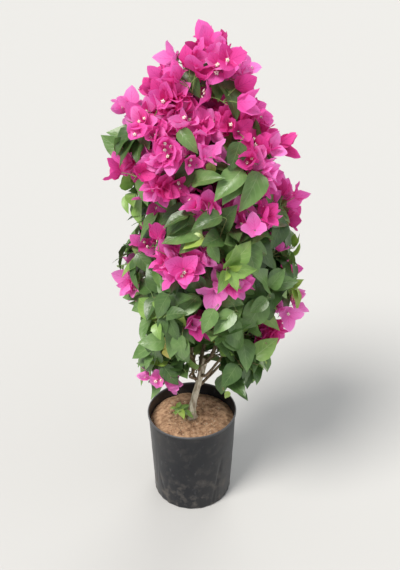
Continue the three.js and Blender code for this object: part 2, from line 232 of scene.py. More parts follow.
def placeMasses():
    rand = seededDraws(crown["seed"])
    firstSeed, seedStep = crown["massSeeds"]
    masses = []
    for layer in crown["layers"]:
        count = layer["count"]
        for index in range(count):
            shift = crown["stagger"] * (1 if index % 2 else -1) if count > 1 else 0
            angle = layer["turn"] + index / count * wholeTurn + crown["turnJitter"] * either(rand)
            out = layer["out"] + crown["jitter"] * either(rand)
            height = layer["height"] + shift + crown["jitter"] * either(rand)
            masses.append({
                "layer": layer,
                "angle": angle,
                "name": f"{layer['name']}_{index + 1}" if count > 1 else layer["name"],
                "centre": around(out, angle, height) + Vector((layer["aside"], 0, 0)),
                "radius": layer["radius"] * (1 + crown["sizeJitter"] * either(rand)),
                "seed": firstSeed + seedStep * len(masses),
            })
    return masses


masses = placeMasses()
massCentres = np.array([mass["centre"] for mass in masses])
massRadii = np.array([mass["radius"] for mass in masses])


def massesOf(*layerNames):
    return [mass for mass in masses if mass["layer"]["name"] in layerNames]


def stretchedSquares(place):
    away = (np.array(place) - massCentres) / (1, 1, crown["stretch"])
    return (away**2).sum(axis=1)


def allowed(mass, place):
    squares = stretchedSquares(place)
    nearest = int(np.argmin(squares - massRadii**2))
    inside = squares[nearest] < (crown["reach"] * massRadii[nearest]) ** 2
    return masses[nearest] is mass and inside and place[2] > crown["lowest"]


def caneTip(mass, sizes):
    inward = Vector((mass["layer"]["aside"] - mass["centre"].x, -mass["centre"].y, 0)).normalized()
    tip = mass["centre"] + inward * sizes["tipIn"] * mass["radius"]
    return tip - upward * sizes["tipDown"] * mass["radius"] * crown["stretch"]


def growCanes(trunk):
    main, low, side = caneSizes["main"], caneSizes["low"], caneSizes["side"]
    canes = []

    def add(mass, name, route, foot):
        canes.append({"mass": mass, "name": name, "curve": CatmullCurve(route), "foot": caneSizes[foot]})

    def fromTrunk(mass, index, sizes):
        start = trunk.at(sizes["firstShare"] + sizes["shareStep"] * index)
        return [start, start + around(sizes["out"], mass["angle"], sizes["rise"])]

    for index, mass in enumerate(massesOf("blossom_upper")):
        rand = seededDraws(mass["seed"] + caneSizes["seedShift"])
        rings = []
        for out, aside, height in caneSizes["rings"]:
            swing = mass["angle"] + crown["turnJitter"] * either(rand)
            rings.append(around(out, swing, height) + Vector((aside, 0, 0)))
        add(mass, f"cane_{index + 1}", [*fromTrunk(mass, index, main), *rings, caneTip(mass, main)], "foot")
    mains = [cane["curve"] for cane in canes]
    for index, mass in enumerate(massesOf("foliage_low")):
        add(mass, f"low_cane_{index + 1}", [*fromTrunk(mass, index, low), caneTip(mass, low)], "sideFoot")
    for layerName, (name, fork) in caneSizes["forks"].items():
        for index, mass in enumerate(massesOf(layerName)):
            share = fork + side["shareStep"] * index
            parent = min(mains, key=lambda curve: (curve.at(share) - mass["centre"]).length)
            start, tip = parent.at(share), caneTip(mass, side)
            middle = start.lerp(tip, 0.5) + parent.heading(share) * side["bow"]
            add(mass, name.format(index + 1), [start, middle, tip], "sideFoot")
    return canes


def stemCurve(cane):
    mass = cane["mass"]
    heading = cane["curve"].heading(1)
    start = cane["curve"].at(1) + heading * crown["gap"]
    crest = mass["centre"] + upward * stemSizes["crest"] * mass["radius"] * crown["stretch"]
    return BentCurve(start, start + heading * stemSizes["bend"] * (start - crest).length, crest)


def reachable(mass, start, target, shortest):
    for pull in range(twigSizes["pulls"]):
        end = start.lerp(target, 1 - twigSizes["pull"] * pull)
        length = (end - start).length
        beyond = end.lerp(start, -growthReach["beyondTip"] / length)
        if length > shortest and allowed(mass, end) and insideReach(beyond):
            return end
    return None


def growTwigs(mass, stem):
    rand = seededDraws(mass["seed"])
    phase = wholeTurn * rand()
    count = mass["layer"]["twigs"]
    (top, fall), (firstFoot, footFall) = twigSizes["heights"], twigSizes["feet"]
    twigs = []
    for index in range(count):
        done = (index + 0.5) / count
        height = top - fall * done
        long = index % twigSizes["longEvery"] == twigSizes["firstLong"]
        reach = mass["radius"] * (twigSizes["reaches"][long] + twigSizes["reachJitter"] * rand())
        spread = math.sqrt(1 - height * height)
        direction = around(spread, phase + index * goldenTurn, height * crown["stretch"])
        start = stem.at(firstFoot - footFall * done)
        end = reachable(mass, start, mass["centre"] + direction * reach, twigSizes["shortest"])
        if end:
            curve = archedCurve(start, end, twigSizes["arch"], twigSizes["archAt"])
            twigs.append({"curve": curve, "mass": mass, "newGrowth": twigSizes["newGrowth"][long],
                          "bloom": mass["layer"]["bloom"]})
    return twigs


# Side shoots, and front shoots that end where the photograph shows a cluster or new growth

shootSizes = {
    "gap": 0.048,  # a twig has one for each such length
    "span": (0.3, 0.6),  # share of its parent that the first forks from, and the rise to the last
    "jitter": 0.3,
    "forward": 0.55,
    "outward": 0.75,
    "upward": (0.1, 0.5),
    "length": (0.05, 0.115),
    "radii": (0.0012, 0.0007),
    "arch": 0.12,
    "shortest": 0.025,
    "newGrowth": 0.7,  # of the twig's
    "bloom": 0.75,  # of the twig's chance
}
frontShoots = {
    "from": 0.6,  # share of the twig that they fork from
    "clusters": tuple(Vector(end) for end in (
        (-0.01, -0.15, 0.745), (-0.01, -0.14, 0.6), (0.085, -0.17, 0.705), (0.145, -0.15, 0.81),
        (0.033, -0.16, 0.865), (-0.035, -0.13, 0.945), (-0.045, -0.12, 0.89), (0.05, 0.18, 0.65),
        (-0.1, 0.08, 0.55), (0.2, 0.08, 0.6))),
    "newLeaves": Vector((0.075, -0.2, 0.76)),
    "room": 0.05,  # no bracts stand this near to the new leaves
    "arch": (-0.3, 0.16),  # of the one with new leaves, and of those that bloom
    "newGrowth": (2.0, 0.3),
    "shades": ("light", "middle"),
}
growthReach = {
    "leaves": 1.38,  # of a mass's radius
    "beyondTip": 0.014,  # a twig or shoot leaves this much room beyond its end
    "boxRoom": 0.012,  # leaves may pass the solids' box by this
    "dip": 0.24,  # share of the reach that the outline falls back by between the sprays that stand out
    "dipSize": 0.075,
    "dipSlope": 1.2,
    "dipRoom": 0.07,  # no dip this near to a front shoot's end
    "bareTrunk": 0.45,  # nothing hangs in front of the trunk below this height, as seen in the view
    "besideTrunk": 0.042,
    "behindTrunk": 0.03,
}
shadeShares = {"light": 0.12, "middle": 0.5}  # of the sprays; the rest are dark


def insideReach(place, proud=0.0):  # of the masses, and of the solids' own box with a little room over
    rule = growthReach
    low, high = cadBounds
    inBox = all(low[axis] - rule["boxRoom"] < place[axis] < high[axis] + rule["boxRoom"] for axis in range(3))
    ends = (*frontShoots["clusters"], frontShoots["newLeaves"])
    dips = min((place - end).length for end in ends) > rule["dipRoom"]
    dip = min(1.0, max(0.0, 0.5 + rule["dipSlope"] * noise.noise(place / rule["dipSize"])))
    reach = rule["leaves"] * (1 - rule["dip"] * (dip if dips else 0.0))
    return inBox and bool((stretchedSquares(place) < (reach * massRadii + proud) ** 2).any())


def hidesTrunk(place):  # as seen from the camera
    if place.y > growthReach["behindTrunk"]:
        return False
    eye = studio["camera"]
    seen = eye + (place - eye) * (eye.y / (eye.y - place.y))
    lean = trunkSizes["lean"].x * (seen.z - trunkSizes["foot"]) / trunkSizes["length"]
    return seen.z < growthReach["bareTrunk"] and abs(seen.x - lean) < growthReach["besideTrunk"]


def growShoots(twig, rand):  # the first forks from the twig, and each other one from the shoot before it
    parent, mass = twig["curve"], twig["mass"]
    shoots = []
    count = max(1, round(parent.length / shootSizes["gap"]))
    turn = wholeTurn * rand()
    firstShare, span = shootSizes["span"]
    for index in range(count):
        share = firstShare + span * (index + shootSizes["jitter"] * rand()) / count
        heading = parent.heading(share)
        out = outOf(heading, turn + index * goldenTurn)
        aim = heading * shootSizes["forward"] + out * shootSizes["outward"]
        aim = (aim + upward * between(rand, *shootSizes["upward"])).normalized()
        start = parent.at(share)
        target = start + aim * between(rand, *shootSizes["length"])
        end = reachable(mass, start, target, shootSizes["shortest"])
        if end and insideReach(end) and not hidesTrunk(end):
            parent = archedCurve(start, end, shootSizes["arch"])
            shoots.append({"curve": parent, "mass": mass,
                           "newGrowth": twig["newGrowth"] * shootSizes["newGrowth"],
                           "bloom": twig["bloom"] * shootSizes["bloom"], "on": (twig, share)})
    return shoots


def growFrontShoots(twigs):
    share = frontShoots["from"]
    shoots = []
    for end in (*frontShoots["clusters"], frontShoots["newLeaves"]):
        blooms = end is not frontShoots["newLeaves"]
        twig = min(twigs, key=lambda twig: (twig["curve"].at(share) - end).length)
        curve = archedCurve(twig["curve"].at(share), end, frontShoots["arch"][blooms])
        shoots.append({"curve": curve, "mass": twig["mass"], "newGrowth": frontShoots["newGrowth"][blooms],
                       "blooms": blooms, "shade": frontShoots["shades"][blooms], "on": (twig, share)})
    return shoots


def dealBlooms(branches):
    rand = seededDraws(seeds["blooms"])
    for branch in branches:
        branch["blooms"] = rand() < branch["bloom"]


def dealShades(branches):
    rand = seededDraws(seeds["shades"])
    for branch in branches:
        draw = rand() - shadeShares["light"]
        branch["shade"] = "light" if draw < 0 else "middle" if draw < shadeShares["middle"] else "dark"


# Leaves along twigs, shoots, stems and canes

leafRule = {
    "gap": 0.01125,
    "fewest": 3,
    "span": (0.22, 0.78),  # where they start on a branch, and over how much of it they go on
    "last": 0.99,
    "jitter": 0.2,
    "length": (0.056, 0.095),
    "petiole": 0.014,  # of a leaf of the usual length, which the others' go by
    "usual": 0.075,
    "forward": 0.45,
    "droop": (0.1, 0.85),
    "stalkForward": 0.3,
    "stalkRise": 0.25,
    "faceOut": 0.8,
    "faceJitter": 0.45,
    "turnsTried": (0, 1.1, -1.1, 2.2, -2.2),
    "tested": (0.15, 0.45, 0.75, 1),  # shares of a leaf that may not hide the trunk
    "bareEnd": 0.62,  # a spray that blooms has no leaves from here on
    "youngFrom": 0.72,  # from here to a branch's tip the leaves are young and shorter
    "youngLess": 0.45,
    "small": 0.72,  # size of young and yellowing leaves
    "yellowing": 0.02,  # share of the leaves below this height
    "yellowBelow": 0.55,
    "onStem": (4, 0.15, 0.8),  # how many, where the first is, and over how much of the stem they go on
    "onCane": (0.045, 0.2, 0.78),  # the gap between them, and the same
}
rosetteRule = {  # the second of two values is for the front shoot with new leaves
    "newGrowth": 0.5,  # more than this opens one
    "count": (5, 10),
    "length": ((0.058, 0.018), (0.078, 0.024)),  # of the outermost and of the innermost leaf
    "lengthJitter": (0.9, 1.1),
    "facing": Vector((0.3, 0.7, 0.4)),
    "outward": (1.1, 0.7),  # of the outermost, and the fall to the innermost
    "forward": (0.25, 0.8),  # and the rise
    "rootBack": 0.014,
    "rootOut": 0.004,
    "footBack": 0.016,
    "faceUp": 0.2,
    "proud": (0.0, 0.05),
    "youngFrom": (0.55, 0.75),
}


def bladeAt(root, along, wanted, length, **more):
    return {"root": root, "along": along, "normal": squareTo(along, wanted), "length": length} | more


def leafPose(leaf, turn, rand):
    rule, heading, foot = leafRule, leaf["heading"], leaf["foot"]
    out = outOf(heading, turn)
    along = (heading * rule["forward"] + out - upward * between(rand, *rule["droop"])).normalized()
    stalkAim = (heading * rule["stalkForward"] + out + upward * rule["stalkRise"]).normalized()
    away = Vector((foot.x - leaf["mass"]["layer"]["aside"], foot.y, 0)).normalized()
    wanted = upward + away * rule["faceOut"] + around(rule["faceJitter"] * rand(), wholeTurn * rand())
    root = foot + stalkAim * rule["petiole"] * leaf["length"] / rule["usual"]
    return bladeAt(root, along, wanted, leaf["length"])


def placeLeaf(leaf, first, rand):  # turned round its twig until it is within reach and clear of the trunk
    for turn in leafRule["turnsTried"]:
        leaf |= leafPose(leaf, leaf["turn"] + first + turn, rand)
        tip = leaf["root"] + leaf["along"] * leaf["length"]
        hides = any(hidesTrunk(leaf["foot"].lerp(tip, share)) for share in leafRule["tested"])
        if tip.z > crown["lowest"] and insideReach(tip) and not hides:
            return True
    return False


def tipRosette(branch, rand):  # leaves that open round a young tip, the inner ones smaller and paler
    rule, end, heading = rosetteRule, branch["curve"].at(1), branch["curve"].heading(1)
    front = branch["newGrowth"] > 1
    count, (outermost, innermost) = rule["count"][front], rule["length"][front]
    (outward, outFall), (forward, forwardRise) = rule["outward"], rule["forward"]
    rosette = []
    for index in range(count):
        inner = index / count
        out = outOf(heading, index * goldenTurn, rule["facing"])
        along = out * (outward - outFall * inner) + heading * (forward + forwardRise * inner)
        along.normalize()
        root = end - heading * rule["rootBack"] * (1 - inner) + out * rule["rootOut"]
        length = (outermost + (innermost - outermost) * inner) * between(rand, *rule["lengthJitter"])
        tip = root + along * length
        if insideReach(tip, rule["proud"][front]) and not hidesTrunk(tip):
            rosette.append(bladeAt(
                root, along, heading + upward * rule["faceUp"], length, mass=branch["mass"],
                foot=end - heading * rule["footBack"] * (1 - inner), on=(branch, 1.0), kept=front,
                shade="young" if inner > rule["youngFrom"][front] else "light"))
    return rosette


def growLeaves(branches, stems, canes):
    rule, rand = leafRule, seededDraws(seeds["leaves"])
    leaves = []

    def put(curve, share, turn, length, mass, shade="dark", branch=None):
        leaf = {"foot": curve.at(share), "heading": curve.heading(share), "turn": turn, "length": length,
                "mass": mass, "shade": shade, "on": (branch, share)}
        if placeLeaf(leaf, 0.0, rand):
            leaves.append(leaf)

    firstShare, span = rule["span"]
    for branch in branches:
        curve = branch["curve"]
        turn = wholeTurn * rand()
        count = max(rule["fewest"], round(curve.length / rule["gap"]))
        if branch["newGrowth"] > 1:
            count = 0  # its rosette is all that it has
        for index in range(count):
            share = min(rule["last"], firstShare + span * (index + rule["jitter"] * rand()) / count)
            if branch["blooms"] and share > rule["bareEnd"]:
                break
            young = max(0.0, (share - rule["youngFrom"]) / (1 - rule["youngFrom"]))
            length = between(rand, *rule["length"]) * (1 - rule["youngLess"] * young)
            shade = "young" if rand() < young * branch["newGrowth"] else branch["shade"]
            if rand() < rule["yellowing"] and curve.at(share).z < rule["yellowBelow"]:
                shade = "yellowing"
            if shade in ("young", "yellowing"):
                length *= rule["small"]
            put(curve, share, turn + index * goldenTurn, length, branch["mass"], shade, branch)
    for branch in branches:
        if branch["newGrowth"] > rosetteRule["newGrowth"] and not branch["blooms"]:
            leaves.extend(tipRosette(branch, rand))
    count, firstShare, span = rule["onStem"]
    for stem, mass in stems:
        for index in range(count):
            share = firstShare + span * index / count
            put(stem, share, wholeTurn * rand(), between(rand, *rule["length"]), mass)
    gap, firstShare, span = rule["onCane"]
    for cane in canes:
        curve = cane["curve"]
        for index in range(round(curve.length / gap)):
            share = firstShare + span * index * gap / curve.length
            if share < 1:
                length = between(rand, *rule["length"])
                put(curve, share, index * goldenTurn + rand(), length, cane["mass"])
    return leaves


# Clusters of triple bracts on short stalks, each bract with a tube flower on its rib

blossom = {
    "perCluster": (6, 10),
    "axis": (0.5, 0.45, 0.9),  # of a triple: along the branch, upward and aside
    "asideRise": (-0.5, 0.7),
    "spread": 0.04,  # from the branch's end, and the least share of it
    "spreadFrom": 0.4,
    "setBack": 0.02,
    "stalkBack": 0.012,
    "length": (0.033, 0.046),
    "lengthJitter": (0.9, 1.1),
    "facing": Vector((0.3, 0.8, 0.2)),
    "opened": (0.25, 0.75),
    "outLess": 0.35,  # for each part that it is opened
    "forward": 0.45,
    "rootOut": 0.001,
    "faceIn": 0.6,
    "edgeOut": 0.7,
    "proud": 0.014,  # of the leaves' reach
    "sameShade": 0.75,  # of a cluster's bracts
    "shades": ("bright", "full", "deep"),
    "flowers": 0.38,  # share of the bracts whose flower is open
    "flowerOut": 0.35,
    "flowerRoot": (0.002, 0.001),  # out and up
    "flowerLength": 0.04,  # of the bract that has a flower of full size
    "flowerJitter": (0.8, 1.1),
}


def growBlossom(branches):
    rule, rand = blossom, seededDraws(seeds["blossom"])
    shades = rule["shades"]
    bracts, stalks, flowers = [], [], []

    def triple(centre, axis, mass, shade, size):
        first = wholeTurn * rand()
        opened = between(rand, *rule["opened"])
        for index in range(3):
            out = outOf(axis, first + index * wholeTurn / 3, rule["facing"])
            along = out * (1 - rule["outLess"] * opened) + axis * (rule["forward"] + opened)
            root, wanted = centre + out * rule["rootOut"], axis - out * rule["faceIn"]
            length = size * between(rand, *rule["lengthJitter"])
            bracts.append(bladeAt(root, along.normalized(), wanted, length, shade=shade, mass=mass))
            if rand() < rule["flowers"]:
                rootOut, rootUp = rule["flowerRoot"]
                aim = (out * rule["flowerOut"] + axis).normalized()
                scale = size / rule["flowerLength"] * between(rand, *rule["flowerJitter"])
                flowers.append((centre + out * rootOut + axis * rootUp, aim, scale))

    forward, rise, aside = rule["axis"]
    for branch in [branch for branch in branches if branch["blooms"]]:
        end, heading = branch["curve"].at(1), branch["curve"].heading(1)
        clusterShade = shades[int(len(shades) * rand())]
        for index in range(round(between(rand, *rule["perCluster"]))):
            lean = around(1, wholeTurn * rand(), between(rand, *rule["asideRise"]))
            axis = (heading * forward + upward * rise + lean * aside).normalized()
            centre = end + axis * between(rand, rule["spreadFrom"], 1) * rule["spread"]
            centre -= heading * rule["setBack"] * rand()
            shade = clusterShade if rand() < rule["sameShade"] else shades[int(len(shades) * rand())]
            size = between(rand, *rule["length"])
            away = Vector((centre.x, centre.y, 0)).normalized() * rule["edgeOut"]
            edge = centre + (axis + away).normalized() * size
            near = (centre - frontShoots["newLeaves"]).length < frontShoots["room"]
            hides = near or hidesTrunk(centre) or hidesTrunk(edge)
            if insideReach(edge, rule["proud"]) and not hides:
                stalks.append({"from": end - heading * rule["stalkBack"], "to": centre,
                               "mass": branch["mass"], "on": (branch, 1.0)})
                triple(centre, axis, branch["mass"], shade, size)
    return bracts, stalks, flowers


# A sprout of new leaves beside the trunk's foot

sprout = {
    "foot": Vector((-0.013, -0.004, 0.221)),
    "tip": Vector((-0.042, -0.014, 0.262)),
    "bendAt": 0.4,
    "rise": 0.018,
    "radii": (0.0016, 0.0009),
    "steps": 8,
    "leaves": 13,
    "span": (0.3, 0.7),
    "upward": (0.1, 0.9),
    "leafLength": (0.017, 0.034),
    "petiole": 0.004,
    "faceOut": 0.2,
    "youngFrom": 0.75,
}


def growSprout():
    rand = seededDraws(seeds["sprout"])
    foot, tip = sprout["foot"], sprout["tip"]
    curve = BentCurve(foot, foot.lerp(tip, sprout["bendAt"]) + upward * sprout["rise"], tip)
    firstShare, span = sprout["span"]
    leaves = []
    for index in range(sprout["leaves"]):
        share = firstShare + span * index / sprout["leaves"]
        out = around(1, index * goldenTurn)
        along = (out + upward * between(rand, *sprout["upward"])).normalized()
        root, wanted = curve.at(share) + along * sprout["petiole"], upward + out * sprout["faceOut"]
        shade = "young" if share > sprout["youngFrom"] else "light"
        length = between(rand, *sprout["leafLength"])
        leaves.append(bladeAt(root, along, wanted, length, foot=curve.at(share), shade=shade))
    return curve, leaves


# Meshes

def linked(name, data):
    thing = bpy.data.objects.new(name, data)
    bpy.context.scene.collection.objects.link(thing)
    return thing


def meshOf(name, points, faces, materials=(), faceMaterials=None, uvs=None):
    mesh = bpy.data.meshes.new(name)
    mesh.from_pydata(points, [], faces)
    for material in materials:
        mesh.materials.append(material)
    if faceMaterials is not None:
        mesh.polygons.foreach_set("material_index", faceMaterials)
    for label, places in (uvs or {}).items():
        layer = mesh.uv_layers.new(name=label)
        layer.data.foreach_set("uv", np.asarray(places, dtype=np.float32).ravel())
    mesh.polygons.foreach_set("use_smooth", [True] * len(mesh.polygons))
    mesh.update()
    return linked(name, mesh)


def bandFaces(rows, order=(0, 1, 2, 3), closed=True):  # between rows of corners; a pole repeats one corner
    faces = []
    for lower, upper in zip(rows, rows[1:]):
        for index in range(len(lower) if closed else len(lower) - 1):
            after = (index + 1) % len(lower)
            corners = (lower[index], lower[after], upper[after], upper[index])
            loop = [corners[pick] for pick in order]
            faces.append([corner for place, corner in enumerate(loop) if corner != loop[place - 1]])
    return faces


class Rings:  # rows of points round an axis
    def __init__(self, sides):
        self.sides, self.points, self.rows = sides, [], []

    def add(self, placeAt):  # placeAt gives the point at an angle
        self.rows.append([len(self.points) + index for index in range(self.sides)])
        self.points += [placeAt(index / self.sides * wholeTurn) for index in range(self.sides)]

    def pole(self, z):
        self.rows.append([len(self.points)] * self.sides)
        self.points.append((0.0, 0.0, z))


def revolved(name, profile, sides):
    rings = Rings(sides)
    for radius, z in profile:
        rings.add(lambda angle: around(radius, angle, z))
    return meshOf(name, rings.points, [*bandFaces(rings.rows), rings.rows[0][::-1], rings.rows[-1]])


# Blades: leaves and bracts are one template bent, folded and waved to each one's own numbers

leafBlade = {"width": 0.64, "base": 0.5, "tip": 1.12, "rows": 8, "columns": (-1, -0.5, 0, 0.5, 1),
             "fold": (0.08, 0.52), "curl": (0.1, 1.0), "wave": (0.03, 0.15), "twist": 0.35}
bractBlade = {"width": 0.8, "base": 0.48, "tip": 0.8, "rows": 6, "columns": (-1, -0.5, 0, 0.5, 1),
              "fold": (0.02, 0.35), "curl": (-0.75, 0.4), "wave": (0.08, 0.24), "twist": 0.3}
anyBlade = {
    "toEnds": 0.6,  # how far the rows crowd towards both ends
    "widths": (0.88, 1.1),
    "waves": (1.4, 2.3),
    "halves": 1.9,  # between the waves of both halves
    "stripEdge": 0.04,
    "stripEnd": 0.01,
}


def bladeTemplate(shape):
    count, columns, crowd = shape["rows"], shape["columns"], anyBlade["toEnds"]
    corners, rows = [(0.0, 0.0)], [[0] * len(columns)]
    for row in range(1, count):
        share = crowd * (0.5 - 0.5 * math.cos(math.pi * row / count)) + (1 - crowd) * row / count
        rows.append([len(corners) + index for index in range(len(columns))])
        corners += [(share, column) for column in columns]
    rows.append([len(corners)] * len(columns))
    corners.append((1.0, 0.0))
    return np.array(corners), bandFaces(rows, (1, 0, 3, 2), closed=False)


def turned(first, second, angle):
    cosine, sine = np.cos(angle), np.sin(angle)
    return first * cosine - second * sine, first * sine + second * cosine


def bladePoints(shape, corners, blades, rand):
    share, aside = corners[:, 0][None], corners[:, 1][None]

    def draw(low, high):
        return np.array([between(rand, low, high) for _ in blades])[:, None]

    def each(part):
        return np.array([blade[part] for blade in blades])[:, None]

    widest = shape["base"] / (shape["base"] + shape["tip"])
    peak = widest ** shape["base"] * (1 - widest) ** shape["tip"]
    outline = share ** shape["base"] * (1 - share) ** shape["tip"] / peak
    length = each("length")
    half = outline * length * shape["width"] / 2 * draw(*anyBlade["widths"])
    fold, curl = draw(*shape["fold"]), draw(*shape["curl"]) + 1e-4
    wave, phase, waves = draw(*shape["wave"]), draw(0, wholeTurn), draw(*anyBlade["waves"])
    phase = wholeTurn * waves * share + phase + anyBlade["halves"] * (aside > 0)
    lift = half * np.abs(aside) * np.sin(fold) + wave * half * aside**2 * np.sin(phase)
    twist = draw(-shape["twist"], shape["twist"]) * share
    across, lift = turned(half * aside * np.cos(fold), lift, twist)
    bend = curl * share
    ahead = length * np.sin(bend) / curl + lift * np.sin(bend)
    rise = -length * (1 - np.cos(bend)) / curl + lift * np.cos(bend)
    along, normal = each("along"), each("normal")
    side = np.cross(normal, along)
    return each("root") + along * ahead[..., None] + side * across[..., None] + normal * rise[..., None]


def shapeBlades(shape, blades, rand):
    corners, _ = bladeTemplate(shape)
    for blade, points in zip(blades, bladePoints(shape, corners, blades, rand)):
        blade["points"] = points


def joinBlades(shape, blades):
    corners, faces = bladeTemplate(shape)
    starts = range(0, len(blades) * len(corners), len(corners))
    joined = [[start + corner for corner in face] for start in starts for face in faces]
    return np.concatenate([blade["points"] for blade in blades]).tolist(), joined


def bladePiece(name, shape, blades, shades):
    corners, faces = bladeTemplate(shape)
    points, joined = joinBlades(shape, blades)
    order = list(shades)
    shadeOf = np.array([order.index(blade["shade"]) for blade in blades])
    flat = np.array([(corners[c][0], corners[c][1] / 2 + 0.5) for face in faces for c in face])
    own = np.tile(flat, (len(blades), 1))
    strip = np.repeat(shadeOf, len(flat))  # in the second map all blades of a shade share one strip
    edge, end = anyBlade["stripEdge"], anyBlade["stripEnd"]
    across = (strip + edge + (1 - 2 * edge) * own[:, 1]) / len(order)
    shared = np.column_stack((own[:, 0] * (1 - 2 * end) + end, across))
    materials = [shades[shade] for shade in order]
    return meshOf(name, points, joined, materials, np.repeat(shadeOf, len(faces)),
                  {"blade": own, "OFBake": shared})


# Room: leaves, flowers and thorns that would cut through a blade are turned or left out

roomRule = {
    "bractCut": 6,  # a leaf moves where a bract crosses it in this many pairs of faces
    "leafCut": 7,  # or another leaf in this many
    "turns": (0.7, 1.6, 2.5, 3.4, 4.3, 5.2),
}


def facesTree(shape, blades):
    return BVHTree.FromPolygons(*joinBlades(shape, blades)), len(bladeTemplate(shape)[1])


def deepCuts(first, second, faces):  # pairs of blades that cross in at least so many pairs of faces
    (firstTree, firstCount), (secondTree, secondCount) = first, second
    pairs = np.array(firstTree.overlap(secondTree)) // (firstCount, secondCount)
    pairs, counts = np.unique(pairs, axis=0, return_counts=True)
    return pairs[counts >= faces].tolist()


def cutLeaves(leaves, settled, bracts):  # those that bracts, settled leaves or each other cut through
    tree = facesTree(leafBlade, leaves)
    cuts = deepCuts(tree, facesTree(bractBlade, bracts), roomRule["bractCut"])
    if settled:
        cuts += deepCuts(tree, facesTree(leafBlade, settled), roomRule["leafCut"])
    cut = {leaf for leaf, _ in cuts if not leaves[leaf].get("kept")}
    crossed = {index: set() for index in range(len(leaves))}
    for one, other in deepCuts(tree, tree, roomRule["leafCut"]):
        (branch, share), (otherBranch, otherShare) = leaves[one]["on"], leaves[other]["on"]
        together = branch is otherBranch and share == otherShare == 1  # in one rosette
        if one != other and not together and one not in cut and other not in cut:
            crossed[one].add(other)

    def claim(index):  # the kept ones come last, and those that cross the most come first
        return leaves[index].get("kept", False), -len(crossed[index]), index

    for index in sorted(crossed, key=claim):
        if crossed[index] - cut:
            cut.add(index)
    return cut


def settleLeaves(leaves, bracts, rand):  # turns the leaves that cut through others, and leaves out the last
    settled = []
    for turn in roomRule["turns"]:
        shapeBlades(leafBlade, leaves, rand)
        cut = cutLeaves(leaves, settled, bracts)
        settled += [leaf for index, leaf in enumerate(leaves) if index not in cut]
        leaves = [leaves[index] for index in sorted(cut) if "turn" in leaves[index]]
        leaves = [leaf for leaf in leaves if placeLeaf(leaf, turn, rand)]
    return settled


def pierces(tree, foot, aim, low, high):
    aim = aim.normalized()
    return tree.ray_cast(foot + aim * low, aim, high - low)[0] is not None


def clearFlowers(flowers, leafTree, bractTree):
    def through(tree, flower, span):
        place, aim, size = flower
        return pierces(tree, place, aim, *(size * end for end in span))

    return [
        flower for flower in flowers
        if not through(leafTree, flower, flowerShape["clearTube"])
        and not through(bractTree, flower, flowerShape["clearMouth"])
    ]


def cutBack(twigs, shoots, grownParts):  # each ends at its last leaf or bract, and a twig at its last shoot
    for branch in twigs + shoots:
        branch["until"] = 0.0
    for part in grownParts:
        branch, share = part["on"]
        if branch:
            branch["until"] = max(branch["until"], share)
    for shoot in shoots:
        if shoot["until"] > 0:
            twig, share = shoot["on"]
            twig["until"] = max(twig["until"], share)


# Node trees

class Wiring:  # a node tree in the making, in which a value may be another node's output
    def __init__(self, tree):
        self.tree = tree

    def feed(self, socket, value):
        if isinstance(value, bpy.types.NodeSocket):
            self.tree.links.new(value, socket)
        elif socket.type == "RGBA":
            socket.default_value = (*value, 1)
        else:
            socket.default_value = value

    def add(self, kind, inputs=None, **settings):
        node = self.tree.nodes.new(kind)
        for name, value in settings.items():
            setattr(node, name, value)
        for name, value in (inputs or {}).items():
            self.feed(node.inputs[name], value)
        return node

    def math(self, operation, *values, clamp=False):
        node = self.add("ShaderNodeMath", dict(enumerate(values)), operation=operation, use_clamp=clamp)
        return node.outputs[0]

    def ramp(self, value, low, high):
        return self.add("ShaderNodeMapRange", {"Value": value, "From Min": low, "From Max": high}).outputs[0]


def newGroup(name, kind, inputs, outputs):  # inputs by name: the kind of socket, and its value if it has one
    group = bpy.data.node_groups.new(name, kind)
    for label, (socketKind, *value) in inputs.items():
        socket = group.interface.new_socket(name=label, in_out="INPUT", socket_type=f"NodeSocket{socketKind}")
        if value:
            socket.default_value = value[0]
    for label, socketKind in outputs.items():
        group.interface.new_socket(name=label, in_out="OUTPUT", socket_type=f"NodeSocket{socketKind}")
    wiring = Wiring(group)
    return wiring, wiring.add("NodeGroupInput").outputs, wiring.add("NodeGroupOutput").inputs


# Veins of a blade from its own UV: a rib along the middle and slanted side veins
def veinGroup():
    sharpness = 14.0
    group, given, put = newGroup(
        "bladeVeins", "ShaderNodeTree",
        {"UV": ("Vector",), "Pairs": ("Float", 6.0), "Slant": ("Float", 0.35), "Rib width": ("Float", 0.05)},
        {"Rib": "Float", "Veins": "Float", "Height": "Float"})
    along, across, _ = group.add("ShaderNodeSeparateXYZ", {0: given["UV"]}).outputs
    aside = group.math("ABSOLUTE", group.math("MULTIPLY_ADD", across, 2.0, -1.0))
    rib = group.math("SUBTRACT", 1.0, group.math("DIVIDE", aside, given["Rib width"]), clamp=True)
    slanted = group.math("SUBTRACT", along, group.math("MULTIPLY", aside, given["Slant"]))
    phase = group.math("MULTIPLY", slanted, group.math("MULTIPLY", given["Pairs"], wholeTurn))
    ridge = group.math("POWER", group.math("MULTIPLY_ADD", group.math("COSINE", phase), 0.5, 0.5), sharpness)
    veins = group.math("MULTIPLY", ridge, group.math("SUBTRACT", 1.0, aside, clamp=True))
    group.feed(put["Rib"], rib)
    group.feed(put["Veins"], veins)
    group.feed(put["Height"], group.math("MAXIMUM", rib, veins))
    return group.tree


